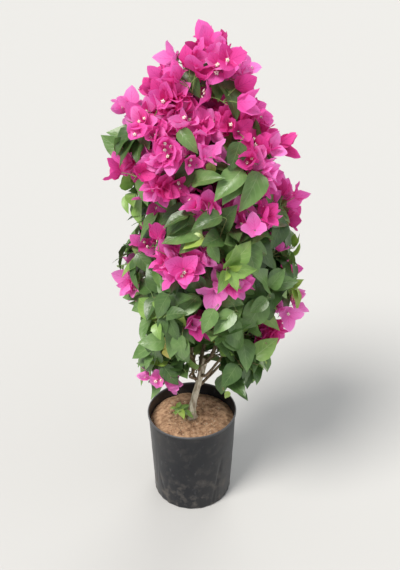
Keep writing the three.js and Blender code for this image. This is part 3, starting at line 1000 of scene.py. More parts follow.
# Soft mottling in Object coordinates, for leaves, bark, soil and pot alike
def mottleGroup():
    group, given, put = newGroup(
        "mottle", "ShaderNodeTree",
        {"Scale": ("Float", 20.0), "Detail": ("Float", 4.0), "Low": ("Float", 0.4), "High": ("Float", 0.6),
         "Stretch": ("Vector", (1, 1, 1))},
        {"Mask": "Float", "Noise": "Float"})
    place = group.add("ShaderNodeTexCoord").outputs["Object"]
    scaled = group.add("ShaderNodeVectorMath", {0: place, 1: given["Stretch"]}, operation="MULTIPLY")
    values = {"Vector": scaled.outputs[0], "Scale": given["Scale"], "Detail": given["Detail"]}
    cloud = group.add("ShaderNodeTexNoise", values).outputs["Fac"]
    group.feed(put["Mask"], group.ramp(cloud, given["Low"], given["High"]))
    group.feed(put["Noise"], cloud)
    return group.tree


veins = veinGroup()
mottle = mottleGroup()


class Finish(Wiring):  # a material in the making
    def __init__(self, name):
        self.material = bpy.data.materials.new(name)
        self.material.use_nodes = True
        super().__init__(self.material.node_tree)
        self.shader = self.tree.nodes["Principled BSDF"]

    def set(self, values):
        for name, value in values.items():
            self.feed(self.shader.inputs[name], value)

    def mix(self, mask, first, second):
        node = self.add("ShaderNodeMix", data_type="RGBA")
        for index, value in ((0, mask), (6, first), (7, second)):
            self.feed(node.inputs[index], value)
        return node.outputs[2]

    def grouped(self, group, values):
        node = self.add("ShaderNodeGroup", node_tree=group)
        for name, value in values.items():
            self.feed(node.inputs[name], value)
        return node.outputs

    def mottle(self, scale, low, high, detail=4.0, stretch=(1, 1, 1)):
        values = {"Scale": scale, "Low": low, "High": high, "Detail": detail, "Stretch": stretch}
        return self.grouped(mottle, values)

    def bump(self, height, strength, distance, invert=False):
        values = {"Height": height, "Strength": strength, "Distance": distance}
        self.set({"Normal": self.add("ShaderNodeBump", values, invert=invert).outputs[0]})

    def height(self):
        place = self.add("ShaderNodeTexCoord").outputs["Object"]
        return self.add("ShaderNodeSeparateXYZ", {0: place}).outputs[2]

    def thin(self, colour, through):  # lets that share of the light through
        glow = self.add("ShaderNodeBsdfTranslucent", {"Color": colour})
        sockets = {0: through, 1: self.shader.outputs[0], 2: glow.outputs[0]}
        both = self.add("ShaderNodeMixShader", sockets)
        self.feed(self.tree.nodes["Material Output"].inputs["Surface"], both.outputs[0])


# Materials; a mottle is its scale, low and high, detail and stretch, and a relief its strength and depth

leafFinish = {
    "veins": {"Pairs": 6.0, "Slant": 0.32, "Rib width": 0.045},
    "shown": (0.75, 0.35),  # how far the rib and the side veins show
    "patches": (38.0, 0.35, 0.68),
    "roughness": (0.2, 0.24),  # what the patches add, and to what
    "relief": (0.35, 0.0006),
    "through": 0.18,
    "shades": {  # dark and light of the patches, and the rib
        "dark": ((0.056, 0.118, 0.033), (0.095, 0.18, 0.05), (0.19, 0.29, 0.11)),
        "middle": ((0.112, 0.218, 0.06), (0.185, 0.32, 0.1), (0.3, 0.43, 0.18)),
        "light": ((0.18, 0.33, 0.07), (0.27, 0.44, 0.11), (0.4, 0.54, 0.21)),
        "young": ((0.28, 0.44, 0.07), (0.4, 0.55, 0.12), (0.5, 0.62, 0.24)),
        "yellowing": ((0.58, 0.52, 0.08), (0.7, 0.62, 0.16), (0.72, 0.68, 0.3)),
    },
}
bractFinish = {
    "veins": {"Pairs": 5.0, "Slant": 0.55, "Rib width": 0.05},
    "shown": (0.7, 0.5),
    "fade": 1.6,  # from the base's colour to the tip's
    "roughness": 0.62,
    "specular": 0.3,
    "relief": (0.5, 0.0005),
    "through": 0.4,
    "shades": {  # base, tip and rib
        "bright": ((0.95, 0.22, 0.65), (0.97, 0.32, 0.75), (0.8, 0.08, 0.44)),
        "full": ((0.91, 0.12, 0.52), (0.95, 0.19, 0.62), (0.7, 0.045, 0.33)),
        "deep": ((0.76, 0.055, 0.34), (0.84, 0.095, 0.43), (0.52, 0.018, 0.2)),
    },
}
barkFinish = {
    "streaks": (160.0, 0.38, 0.62, 4.0, (1, 1, 0.25)),
    "patches": (32.0, 0.4, 0.62),
    "roughness": 0.8,
    "relief": (0.6, 0.0008),
    "kinds": {  # dark, light and green, and the heights from which and to which it turns green
        "green twig": ((0.16, 0.1, 0.05), (0.24, 0.16, 0.08), (0.2, 0.26, 0.08), 0.3, 0.9),
        "cane bark": ((0.13, 0.085, 0.05), (0.3, 0.22, 0.14), (0.17, 0.16, 0.07), 0.35, 1.1),
        "trunk bark": ((0.4, 0.32, 0.22), (0.82, 0.75, 0.6), (0.4, 0.34, 0.22), 0.3, 2.0),
    },
}
smallFinish = {
    "patches": (140.0, 0.35, 0.65),
    "kinds": {  # roughness, and the two colours of the patches
        "leaf stalk": (0.5, (0.2, 0.3, 0.08), (0.15, 0.225, 0.06)),
        "flower tube": (0.6, (0.6, 0.08, 0.28), (0.45, 0.2, 0.2)),
        "flower star": (0.55, (0.93, 0.91, 0.82), (0.9, 0.84, 0.6)),
        "thorn": (0.5, (0.3, 0.2, 0.1), (0.225, 0.15, 0.075)),
        "cut wood": (0.85, (0.55, 0.4, 0.24), (0.42, 0.29, 0.17)),
        "pale grit": (0.9, (0.62, 0.47, 0.34), (0.3, 0.2, 0.13)),
    },
}
potFinish = {
    "black": (0.009, 0.01, 0.0135),
    "dust": (0.14, 0.125, 0.11),
    # the next colour is that of the scuffs and of the lip's edge; on the lip it is partly wear and dust,
    # partly a painted highlight along the rim
    "wornAndLipHighlight": (0.16, 0.16, 0.17),
    "splashes": (46.0, 0.5, 0.66, 8.0),
    "splashTop": 0.12,  # height where they are thinnest
    "splashed": (0.6, 0.12),  # what the foot has more, and what the whole wall has
    "film": (9.0, 0.42, 0.72, 5.0),
    "filmed": 0.1,
    "scuffs": (95.0, 0.62, 0.78, 6.0, (1, 1, 0.5)),
    "scuffed": 0.25,
    # how far the lip lightens: partly wear and dust, partly a painted highlight along the rim
    "lipWornAndHighlight": (0.4, 0.5),
    "roughness": (0.4, 0.28),
    "filmRoughness": 0.14,
    "specular": 0.36,
    "grain": (240.0, 0.3, 0.7, 3.0),
    "relief": (0.25, 0.0004),
}
soilFinish = {
    "clods": (90.0, 0.36, 0.64, 8.0),
    "dark": (0.22, 0.12, 0.065),
    "light": (0.5, 0.31, 0.185),
    "dampPatches": (22.0, 0.42, 0.66, 3.0),
    "damp": (0.16, 0.09, 0.05),
    "dampShare": 0.3,
    "roughness": 0.95,
    "grain": (420.0, 0.3, 0.7, 6.0),
    "relief": (0.8, 0.0015),
}


def veined(name, rule):
    finish = Finish(name)
    uv = finish.add("ShaderNodeUVMap", uv_map="blade").outputs[0]
    vein = finish.grouped(veins, {"UV": uv} | rule["veins"])
    rib, sides = (finish.math("MULTIPLY", vein[part], shown)
                  for part, shown in zip(("Rib", "Veins"), rule["shown"]))
    return finish, uv, vein["Height"], finish.math("MAXIMUM", rib, sides)


def leafMaterial(shade, dark, light, rib):
    finish, _, height, mask = veined(f"leaf {shade}", leafFinish)
    patches = finish.mottle(*leafFinish["patches"])
    colour = finish.mix(mask, finish.mix(patches["Mask"], dark, light), rib)
    rough = finish.math("MULTIPLY_ADD", patches["Noise"], *leafFinish["roughness"])
    finish.set({"Base Color": colour, "Roughness": rough})
    finish.bump(height, *leafFinish["relief"], invert=True)
    finish.thin(colour, leafFinish["through"])
    return finish.material


def bractMaterial(shade, base, tip, rib):
    rule = bractFinish
    finish, uv, height, mask = veined(f"bract {shade}", rule)
    along = finish.add("ShaderNodeSeparateXYZ", {0: uv}).outputs[0]
    colour = finish.mix(mask, finish.mix(finish.math("POWER", along, rule["fade"]), base, tip), rib)
    finish.set({"Base Color": colour, "Roughness": rule["roughness"], "Specular IOR Level": rule["specular"]})
    finish.bump(height, *rule["relief"])
    finish.thin(colour, rule["through"])
    return finish.material


def barkMaterial(name, dark, light, green, greenFrom, greenTo):
    finish = Finish(name)
    streaks = finish.mottle(*barkFinish["streaks"])
    patches = finish.mottle(*barkFinish["patches"])["Mask"]
    rise = finish.ramp(finish.height(), greenFrom, greenTo)
    greener = finish.math("MULTIPLY", rise, finish.math("MULTIPLY_ADD", patches, 0.5, 0.5))
    colour = finish.mix(greener, finish.mix(streaks["Mask"], dark, light), green)
    finish.set({"Base Color": colour, "Roughness": barkFinish["roughness"]})
    finish.bump(streaks["Noise"], *barkFinish["relief"])
    return finish.material


def smallMaterial(name, roughness, first, second):
    finish = Finish(name)
    colour = finish.mix(finish.mottle(*smallFinish["patches"])["Mask"], first, second)
    finish.set({"Base Color": colour, "Roughness": roughness})
    return finish.material


def potMaterial():
    rule, finish = potFinish, Finish("pot black plastic")
    height, film = finish.height(), finish.mottle(*rule["film"])
    low = finish.ramp(height, rule["splashTop"], 0.0)
    splashes = finish.mottle(*rule["splashes"])["Mask"]
    dusty = finish.math("MULTIPLY", splashes, finish.math("MULTIPLY_ADD", low, *rule["splashed"]))
    dusty = finish.math("ADD", dusty, finish.math("MULTIPLY", film["Mask"], rule["filmed"]), clamp=True)
    # The lip is painted lighter all round: partly wear and dust on its edge, partly a painted highlight along
    # the rolled rim
    lip = finish.ramp(height, potShape["height"] - potShape["lip"], potShape["height"])
    edge = finish.math("MULTIPLY", lip, finish.math("MULTIPLY_ADD", film["Mask"], *rule["lipWornAndHighlight"]))
    scuffs = finish.math("MULTIPLY", finish.mottle(*rule["scuffs"])["Mask"], rule["scuffed"])
    wearAndLipHighlight = finish.math("MAXIMUM", edge, scuffs)
    rough = finish.math("MULTIPLY_ADD", dusty, *rule["roughness"])
    rough = finish.math("MULTIPLY_ADD", film["Noise"], rule["filmRoughness"], rough)
    colour = finish.mix(wearAndLipHighlight, finish.mix(dusty, rule["black"], rule["dust"]), rule["wornAndLipHighlight"])
    finish.set({"Base Color": colour, "Roughness": rough, "Specular IOR Level": rule["specular"]})
    finish.bump(finish.mottle(*rule["grain"])["Noise"], *rule["relief"])
    return finish.material


def soilMaterial():
    rule, finish = soilFinish, Finish("soil")
    clods = finish.mottle(*rule["clods"])["Mask"]
    damp = finish.math("MULTIPLY", finish.mottle(*rule["dampPatches"])["Mask"], rule["dampShare"])
    colour = finish.mix(damp, finish.mix(clods, rule["dark"], rule["light"]), rule["damp"])
    finish.set({"Base Color": colour, "Roughness": rule["roughness"]})
    finish.bump(finish.mottle(*rule["grain"])["Noise"], *rule["relief"])
    return finish.material


# Geometry Nodes trees

def newTree(name, inputs):
    sockets = {"Geometry": ("Geometry",)} | {label: (kind,) for label, kind in inputs.items()}
    return newGroup(name, "GeometryNodeTree", sockets, {"Geometry": "Geometry"})


def finishTree(tree, made, material, put):
    real = tree.add("GeometryNodeRealizeInstances", {0: made.outputs[0]})
    smooth = tree.add("GeometryNodeSetShadeSmooth", {0: real.outputs[0]})
    paint = tree.add("GeometryNodeSetMaterial", {0: smooth.outputs[0], "Material": material})
    tree.feed(put["Geometry"], paint.outputs[0])
    return tree.tree


def perchedOn(tree, points, shape, rotation, scale):
    info = tree.add("GeometryNodeObjectInfo", {"Object": shape})
    return tree.add("GeometryNodeInstanceOnPoints", {
        "Points": points, "Instance": info.outputs["Geometry"], "Rotation": rotation, "Scale": scale})


# Wood along its paths: a round section scaled by each path's radius, pushed in and out by the bark's relief
def woodTree():
    tree, given, put = newTree(
        "woodAlongPaths", {"Sides": "Int", "Relief": "Float", "Relief scale": "Float", "Bark": "Material"})
    ring = tree.add("GeometryNodeCurvePrimitiveCircle", {"Resolution": given["Sides"], "Radius": 1.0})
    radius = tree.add("GeometryNodeInputRadius").outputs[0]
    sweep = tree.add("GeometryNodeCurveToMesh", {
        "Curve": given["Geometry"], "Profile Curve": ring.outputs[0], "Scale": radius, "Fill Caps": True})
    texture = tree.add("ShaderNodeTexNoise", {"Scale": given["Relief scale"], "Detail": 3.0})
    depth = tree.math("MULTIPLY", tree.math("SUBTRACT", texture.outputs["Fac"], 0.5), given["Relief"])
    normal = tree.add("GeometryNodeInputNormal").outputs[0]
    push = tree.add("ShaderNodeVectorMath", {0: normal, "Scale": depth}, operation="SCALE")
    move = tree.add("GeometryNodeSetPosition", {"Geometry": sweep.outputs[0], "Offset": push.outputs[0]})
    return finishTree(tree, move, given["Bark"], put)


# One small shape set on each point, turned to the point's aim and scaled to its size
def perchTree():
    tree, given, put = newTree("shapesOnPoints", {"Shape": "Object", "Finish": "Material"})
    stored = [
        tree.add("GeometryNodeInputNamedAttribute", {"Name": name}, data_type=kind).outputs["Attribute"]
        for name, kind in (("aim", "FLOAT_VECTOR"), ("size", "FLOAT"))
    ]
    turn = tree.add("FunctionNodeAlignRotationToVector", {"Vector": stored[0]}, axis="Z")
    points = tree.add("GeometryNodeMeshToPoints", {0: given["Geometry"]})
    perch = perchedOn(tree, points.outputs[0], given["Shape"], turn.outputs[0], stored[1])
    return finishTree(tree, perch, given["Finish"], put)


# Crumbs strewn over the soil's top by density and seed, more small ones than large
def crumbTree():
    tree, given, put = newTree("crumbsOnSoil", {
        "Shape": "Object", "Density": "Float", "Seed": "Int", "Largest": "Float", "Smallest": "Float",
        "Skew": "Float", "Finish": "Material"})
    strew = tree.add("GeometryNodeDistributePointsOnFaces", {
        "Mesh": given["Geometry"], "Density": given["Density"], "Seed": given["Seed"]})
    draw = tree.add("FunctionNodeRandomValue", {"Seed": given["Seed"]})
    skewed = tree.math("POWER", draw.outputs["Value"], given["Skew"])
    rest = tree.math("SUBTRACT", 1.0, given["Smallest"])
    size = tree.math("MULTIPLY", tree.math("MULTIPLY_ADD", skewed, rest, given["Smallest"]), given["Largest"])
    spin = tree.add("FunctionNodeRandomValue", {1: (6.28, 6.28, 6.28)}, data_type="FLOAT_VECTOR")
    perch = perchedOn(tree, strew.outputs["Points"], given["Shape"], spin.outputs[0], size)
    return finishTree(tree, perch, given["Finish"], put)


def grown(name, source, tree, inputs):
    modifier = source.modifiers.new("grow", "NODES")
    modifier.node_group = tree
    sockets = {item.name: item.identifier for item in tree.interface.items_tree if item.in_out == "INPUT"}
    for label, value in inputs.items():
        modifier[sockets[label]] = value
    settled = bpy.context.evaluated_depsgraph_get()
    mesh = bpy.data.meshes.new_from_object(source.evaluated_get(settled))
    mesh.name = name
    bpy.data.objects.remove(source)
    return linked(name, mesh)


def grownWood(name, limbs, finish, sides, relief=0.0, scale=100.0):  # a limb is its points and their radii
    data = bpy.data.curves.new(name, "CURVE")
    data.dimensions = "3D"
    for points, radii in limbs:
        spline = data.splines.new("POLY")
        spline.points.add(len(points) - 1)
        spline.points.foreach_set("co", [part for place in points for part in (*place, 1)])
        spline.points.foreach_set("radius", radii)
    inputs = {"Sides": sides, "Relief": relief, "Relief scale": scale, "Bark": finish}
    return grown(name, linked("paths", data), woodPaths, inputs)


def perchedShapes(name, spots, shape, finish):  # a spot is a place, an aim and a size
    places, aims, sizes = zip(*spots)
    mesh = bpy.data.meshes.new("spots")
    mesh.from_pydata(places, [], [])
    aimLayer = mesh.attributes.new("aim", "FLOAT_VECTOR", "POINT")
    aimLayer.data.foreach_set("vector", [part for aim in aims for part in aim])
    sizeLayer = mesh.attributes.new("size", "FLOAT", "POINT")
    sizeLayer.data.foreach_set("value", sizes)
    piece = grown(name, linked("spots", mesh), perched, {"Shape": shape, "Finish": finish})
    bpy.data.objects.remove(shape)
    return piece


# Trunk, in its bark

trunkBark = {
    "sides": 48,
    "rings": 60,
    "underSkin": 0.0006,
    "lobes": (3, 0.3, 0.4),  # of the flare: count, depth and turn
    "ridges": 0.0009,
    "ridgeScale": 2.6,
    "ridgeStretch": 2.2,
    "fractal": (0.8, 2.0, 4),
    "grooves": 7,
    "grooveWaver": (2.5, 1.5),  # how far, and how often
    "grooveSharpness": 6,
    "knots": ((0.2, 2.6), (0.38, 5.4), (0.57, 3.4), (0.76, 4.9)),  # share of the length, and the side
    "knotHeight": 0.0011,
    "knotLength": 0.006,
}


def trunkRelief(share, angle):
    rule = trunkBark
    spot = Vector((math.cos(angle), math.sin(angle), share * rule["ridgeStretch"]))
    relief = noise.fractal(spot * rule["ridgeScale"], *rule["fractal"]) * rule["ridges"]
    waver, often = rule["grooveWaver"]
    groove = math.sin(rule["grooves"] * angle + waver * noise.noise(spot * often))
    relief -= rule["ridges"] * max(0.0, groove) ** rule["grooveSharpness"]
    for knotShare, knotSide in rule["knots"]:
        near = math.exp(-(((share - knotShare) * trunkSizes["length"] / rule["knotLength"]) ** 2))
        relief += rule["knotHeight"] * near * (0.5 + 0.5 * math.cos(angle - knotSide))
    return relief


def trunkRadius(share, angle):
    (footRadius, topRadius), (lobes, depth, turn) = trunkSizes["radii"], trunkBark["lobes"]
    fade = math.exp(-share * trunkSizes["length"] / trunkSizes["flareFade"])
    flare = trunkSizes["flare"] * fade * (1 + depth * math.cos(lobes * angle + turn))
    smooth = footRadius + (topRadius - footRadius) * share + flare
    return smooth - trunkBark["underSkin"] + trunkRelief(share, angle)


def barkTrunk(curve, materials):
    sides, steps, foot = trunkBark["sides"], trunkBark["rings"], trunkSizes["foot"]
    rings = Rings(sides)
    side = Vector((1, 0, 0))
    for step in range(steps + 1):
        share = step / steps
        centre, heading = curve.at(share), curve.heading(share)
        side = squareTo(heading, side)
        other = heading.cross(side)
        rings.add(lambda angle: centre + (
            side * math.cos(angle) + other * math.sin(angle)) * trunkRadius(share, angle))
    points, faces = rings.points, bandFaces(rings.rows)
    for place in points[:sides]:
        place.z = foot
    for centre, rim in ((curve.at(1), rings.rows[-1]), (upward * foot, rings.rows[0][::-1])):
        faces += [[corner, rim[(index + 1) % sides], len(points)] for index, corner in enumerate(rim)]
        points.append(centre)
    picks = [0] * (steps * sides) + [1] * sides + [0] * sides
    return meshOf("trunkBark", points, faces, materials, picks)


# Canes, twigs and stalks

wood = {
    "sides": 14,
    "relief": 0.0011,
    "reliefScale": 260.0,
    "step": 0.006,  # between the points of a cane's path
    "fewestSteps": 8,
    "slimmer": 0.93,  # than the solid, which leaves room for the knots
    "knotGap": 0.034,
    "knotLength": 0.004,
    "knotSwell": 0.13,
    "twigSides": 6,
    "twigRelief": (0.0003, 420.0),
    "stemSteps": 14,
    "twigSteps": 9,
    "shootSteps": 5,
}
stalkSizes = {
    "sides": 4,
    "leafBow": 0.0012,
    "intoBlade": 0.003,
    "leafRadii": (0.0009, 0.0007, 0.0006),
    "bractBow": 0.002,
    "bractRadii": (0.0009, 0.0008, 0.0008),
}


def caneLimb(cane):
    curve = cane["curve"]
    steps = max(wood["fewestSteps"], round(curve.length / wood["step"]))
    points, radii = [], []
    for step in range(steps + 1):
        share = step / steps
        taper = cane["foot"] + (caneSizes["tip"] - cane["foot"]) * share
        off = (share * curve.length) % wood["knotGap"] - wood["knotGap"] / 2
        swell = 1 + wood["knotSwell"] * math.exp(-((off / wood["knotLength"]) ** 2))
        points.append(curve.at(share))
        radii.append(wood["slimmer"] * taper * swell)
    return points, radii


def branchLimb(curve, radii, steps, until=1.0):
    shares = [step / steps for step in range(steps + 1)]
    points = [curve.at(share * until) for share in shares]
    return points, [radii[0] + (radii[1] - radii[0]) * share for share in shares]


def stalkLimb(foot, root, end, bow, radii):
    return [foot, foot.lerp(root, 0.5) + upward * stalkSizes[bow], end], stalkSizes[radii]


def leafStalk(leaf):
    end = leaf["root"] + leaf["along"] * stalkSizes["intoBlade"]
    return stalkLimb(leaf["foot"], leaf["root"], end, "leafBow", "leafRadii")


def bractStalk(stalk):
    return stalkLimb(stalk["from"], stalk["to"], stalk["to"], "bractBow", "bractRadii")


# Thorns

thorns = {
    "profile": ((0.0011, 0.0), (0.0007, 0.0028), (0.00012, 0.0075)),
    "sides": 5,
    "gap": 0.03,
    "last": 0.95,
    "sunk": 0.8,  # share of the wood's radius
    "forward": (0.1, 0.6),
    "sizes": (0.6, 1.3),
    "clear": 0.009,
}


def growThorns(branches, leafTree):
    rand = seededDraws(seeds["thorns"])
    spots = []
    for branch in branches:
        curve = branch["curve"]
        foot, tip = (branch["foot"], caneSizes["tip"]) if "foot" in branch else twigSizes["radii"]
        for index in range(1, int(curve.length * branch.get("until", 1.0) / thorns["gap"])):
            share = min(thorns["last"], index * thorns["gap"] / curve.length)
            heading = curve.heading(share)
            out = outOf(heading, index * goldenTurn, Vector((1, 0, 0)))
            place = curve.at(share) + out * (foot + (tip - foot) * share) * thorns["sunk"]
            aim = out + heading * between(rand, *thorns["forward"])
            size = between(rand, *thorns["sizes"])
            if not pierces(leafTree, place, aim, 0.0, thorns["clear"] * size):
                spots.append((place, aim, size))
    return spots


# Pot

potShape = {
    "rim": 0.11,
    "foot": 0.099,
    "height": 0.25,
    "lip": 0.007,
    "lipProud": 0.0018,
    "lipUnder": 0.0006,
    "wall": 0.0014,
    "floor": 0.0025,
    "floorRing": 0.05,
    "insideFoot": 0.006,
    "round": 0.004,
    "sides": 220,
    "outerRings": 50,
    "innerRings": 30,
    "oval": (0.018, 0.5),  # share and turn
    "threeSided": (0.014, 0.8),
    "calmInside": 0.08,  # the floor's middle has no folds
    "pleats": 26,
    "pleatWaver": 3,
    "pleatDepth": 0.0006,
    "pleatFade": 0.014,
    "ripple": 0.0005,
    "rippleRound": 3,
    "rippleUp": 30,
    "sag": 0.0011,  # of the lip
    "sagWaves": ((0.6, 2, 1.1), (0.4, 5, 0.0)),  # share, count and turn
    "footTurns": (0.4, 0.8, 1.2),  # points of the rounded foot and of the lip, by angle
    "lipTurns": (0.5, 1.05, 1.57, 2.1, 2.6),
    "creaseCount": 18,
    "creaseLean": 0.5,  # how much deeper a crease is on one side
    "creases": {"angle": (0, wholeTurn), "slant": (-2.4, 2.4), "middle": (0.03, 0.2), "reach": (0.02, 0.07),
                "width": (0.02, 0.05), "depth": (0.0007, 0.0019)},
    "dentCount": 6,
    "dents": {"angle": (0, wholeTurn), "middle": (0.05, 0.19), "width": (0.2, 0.4), "reach": (0.02, 0.045),
              "depth": (0.001, 0.0028)},
}


def wallBulge(angle, z):
    rise = z / potShape["height"]
    (oval, ovalTurn), (threeSided, sideTurn) = potShape["oval"], potShape["threeSided"]
    bulge = 1 + oval * rise * math.cos(2 * (angle - ovalTurn))
    return bulge + threeSided * math.sin(math.pi * rise) * math.cos(3 * angle + sideTurn)


def potRadiusAt(z):
    foot, top = potShape["foot"], potShape["rim"] - potShape["lipProud"]
    return foot + (top - foot) * z / potShape["height"]


def drawFolds(rand, count, ranges):
    return [{part: between(rand, *ends) for part, ends in ranges.items()} for _ in range(count)]


foldRand = seededDraws(seeds["folds"])
potCreases = drawFolds(foldRand, potShape["creaseCount"], potShape["creases"])
potDents = drawFolds(foldRand, potShape["dentCount"], potShape["dents"])


def wallShift(angle, z):
    def away(fold, slant=0.0):  # across and along the fold, in its own widths and reaches
        middle = z - fold["middle"]
        across = (angle - (fold["angle"] + slant * middle) + math.pi) % wholeTurn - math.pi
        return across / fold["width"], middle / fold["reach"]

    shift = 0.0
    for crease in potCreases:
        off, rise = away(crease, crease["slant"])
        lean = 1 - potShape["creaseLean"] * off
        shift -= crease["depth"] * math.exp(-off * off - rise * rise) * lean
    for dent in potDents:
        off, rise = away(dent)
        shift -= dent["depth"] * math.exp(-off * off - rise * rise)
    waver = potShape["pleatWaver"] * math.sin(2 * angle)
    pleats = math.sin(potShape["pleats"] * angle + waver) * potShape["pleatDepth"]
    ripple = noise.noise(around(potShape["rippleRound"], angle, z * potShape["rippleUp"]))
    return shift + pleats * math.exp(-z / potShape["pleatFade"]) + potShape["ripple"] * ripple


def potProfile():
    shape = potShape
    height, wall, corner, rim = shape["height"], shape["wall"], shape["round"], shape["rim"]
    lipFoot, foot, top = height - shape["lip"], potRadiusAt(0), potRadiusAt(height)
    middle, across = (rim + top - wall) / 2, (rim - top + wall) / 2
    profile = [(0.0, 0.0), (shape["floorRing"], 0.0), (foot - corner, 0.0)]
    profile += [(foot - corner * (1 - math.sin(turn)), corner * (1 - math.cos(turn)))
                for turn in shape["footTurns"]]
    profile += [(potRadiusAt(z), z) for z in np.linspace(corner, lipFoot, shape["outerRings"])]
    profile += [(rim, lipFoot + shape["lipUnder"]), (rim, height - across)]
    profile += [(middle + across * math.cos(turn), height - across + across * math.sin(turn))
                for turn in shape["lipTurns"]]
    inside = np.linspace(height - across, shape["insideFoot"], shape["innerRings"])
    profile += [(potRadiusAt(z) - wall, z) for z in inside]
    return profile + [(foot - wall - corner, shape["floor"]), (0.0, shape["floor"])]


def potPoint(angle, radius, z):
    folds = wallShift(angle, z) * min(1, radius / potShape["calmInside"])
    sag = 0.0
    if z > potShape["height"] - potShape["lip"]:
        waves = (share * math.sin(count * angle + turn) for share, count, turn in potShape["sagWaves"])
        sag = potShape["sag"] * (1 + sum(waves))
    return around(radius * wallBulge(angle, z) + folds, angle, z - sag)


def nurseryPot(material):
    rings = Rings(potShape["sides"])
    for radius, z in potProfile():
        if radius == 0.0:
            rings.pole(z)
        else:
            rings.add(lambda angle: potPoint(angle, radius, z))
    return meshOf("nurseryPot", rings.points, bandFaces(rings.rows), [material])


# Soil

soilShape = {
    "top": 0.222,
    "mound": (0.002, 0.07, 0.022),  # height, and the radius and width of its ring
    "slump": 0.006,
    "slumpFrom": 0.7,  # share of the radius
    "slumpPower": 1.5,
    "rough": (60, 0.3, 5, 0.0022),  # noise scale, place, octaves and height
    "fine": (260, 4.0, 3, 0.0007),
    "fractal": (0.9, 2.1),
    "calm": (0.25, 0.03),  # share of that in the middle, and the radius where all of it shows
    "inset": 0.0017,
    "below": 0.006,
    "lowerRings": (0.207, 0.085, 0.009),
    "bottom": 0.0035,
    "rings": 46,
    "sides": 150,
}
strewn = {  # over the soil's top
    "half": 0.07,
    "steps": 40,
    "edge": 0.1,
    "smallest": 0.2,
    "skew": 3.0,
    "pieces": {  # seed, density, largest and material
        "soilCrumbs": (12, 42000.0, 0.0042, "soil"),
        "soilPebbles": (31, 9000.0, 0.0036, "pale grit"),
    },
}
crumb = {"ring": 0.9, "lift": 0.45, "turn": 0.63, "jitter": (0.75, 1.15)}


def soilHeight(x, y, edge):
    radius = math.hypot(x, y)
    moundHeight, moundRadius, moundWidth = soilShape["mound"]
    mound = moundHeight * math.exp(-(((radius - moundRadius) / moundWidth) ** 2))
    slumpFrom = soilShape["slumpFrom"]
    fallen = max(0.0, (radius / edge - slumpFrom) / (1 - slumpFrom)) ** soilShape["slumpPower"]
    relief = 0.0
    for scale, place, octaves, height in (soilShape["rough"], soilShape["fine"]):
        spot = Vector((x * scale, y * scale, place))
        relief += noise.fractal(spot, *soilShape["fractal"], octaves) * height
    calm, full = soilShape["calm"]
    return soilShape["top"] + mound - soilShape["slump"] * fallen + relief * min(1.0, calm + radius / full)


def soilBody(material):
    top = soilShape["top"] - soilShape["slump"]
    rings = Rings(soilShape["sides"])

    def topPoint(angle, share):
        edge = (potRadiusAt(top) - soilShape["inset"]) * wallBulge(angle, top) + wallShift(angle, top)
        x, y, _ = around(edge * share, angle)
        return x, y, soilHeight(x, y, edge)

    rings.pole(soilHeight(0, 0, strewn["edge"]))
    for ring in range(1, soilShape["rings"] + 1):
        rings.add(lambda angle: topPoint(angle, ring / soilShape["rings"]))
    for z in soilShape["lowerRings"]:
        rings.add(lambda angle: around((potRadiusAt(z) - soilShape["below"]) * wallBulge(angle, z), angle, z))
    rings.pole(soilShape["bottom"])
    return meshOf("soilBody", rings.points, bandFaces(rings.rows, (0, 3, 2, 1)), [material])


def soilSurface():  # the open top alone, for the crumbs
    count, half, edge = strewn["steps"], strewn["half"], strewn["edge"]
    steps = [(2 * step / count - 1) * half for step in range(count + 1)]
    rows = [[row * (count + 1) + column for column in range(count + 1)] for row in range(count + 1)]
    points = [(x, y, soilHeight(x, y, edge)) for y in steps for x in steps]
    return meshOf("soilSurface", points, bandFaces(rows, closed=False))


def crumbShape():
    rand = seededDraws(seeds["crumb"])
    points = [(0, 0, 1), (0, 0, -1)]
    for turn, z in ((0, crumb["lift"]), (crumb["turn"], -crumb["lift"])):
        for index in range(5):
            angle = index * wholeTurn / 5 + turn
            points.append((crumb["ring"] * math.cos(angle), crumb["ring"] * math.sin(angle), z))
    points = [tuple(part * between(rand, *crumb["jitter"]) for part in point) for point in points]
    faces = []
    for index in range(5):
        after = (index + 1) % 5
        upper, nextUpper, lower, nextLower = 2 + index, 2 + after, 7 + index, 7 + after
        faces += [[0, upper, nextUpper], [upper, lower, nextUpper]]
        faces += [[nextUpper, lower, nextLower], [1, nextLower, lower]]
    return meshOf("crumb", points, faces)


# Flowers, pointing up: a tube, and the star at its mouth

flowerShape = {
    "profile": ((0.0009, 0.0), (0.0015, 0.004), (0.0011, 0.011), (0.0017, 0.0165)),
    "sides": 6,
    "points": 5,
    "point": (0.005, 0.0016),  # out, and up from the mouth
    "notch": (0.0026, 0.0008),
    "sunk": (0.0006, 0.002),  # the star's middle below the mouth, and its underside
    "clearTube": (0.003, 0.021),  # no leaf crosses the axis between these
    "clearMouth": (0.0125, 0.019),  # and no bract between these
}


def flowerStar():
    mouth = flowerShape["profile"][-1][1]
    count = 2 * flowerShape["points"]
    middle, under = flowerShape["sunk"]
    points = [(0, 0, mouth - middle)]
    for index in range(count):
        reach, lift = flowerShape["notch" if index % 2 else "point"]
        points.append(around(reach, wholeTurn * index / count, mouth + lift))
    points.append((0, 0, mouth - under))
    rim = [(1 + index, 1 + (index + 1) % count) for index in range(count)]
    faces = [[0, here, after] for here, after in rim] + [[count + 1, after, here] for here, after in rim]
    return meshOf("flowerStar", points, faces)


# Floor, lights and camera

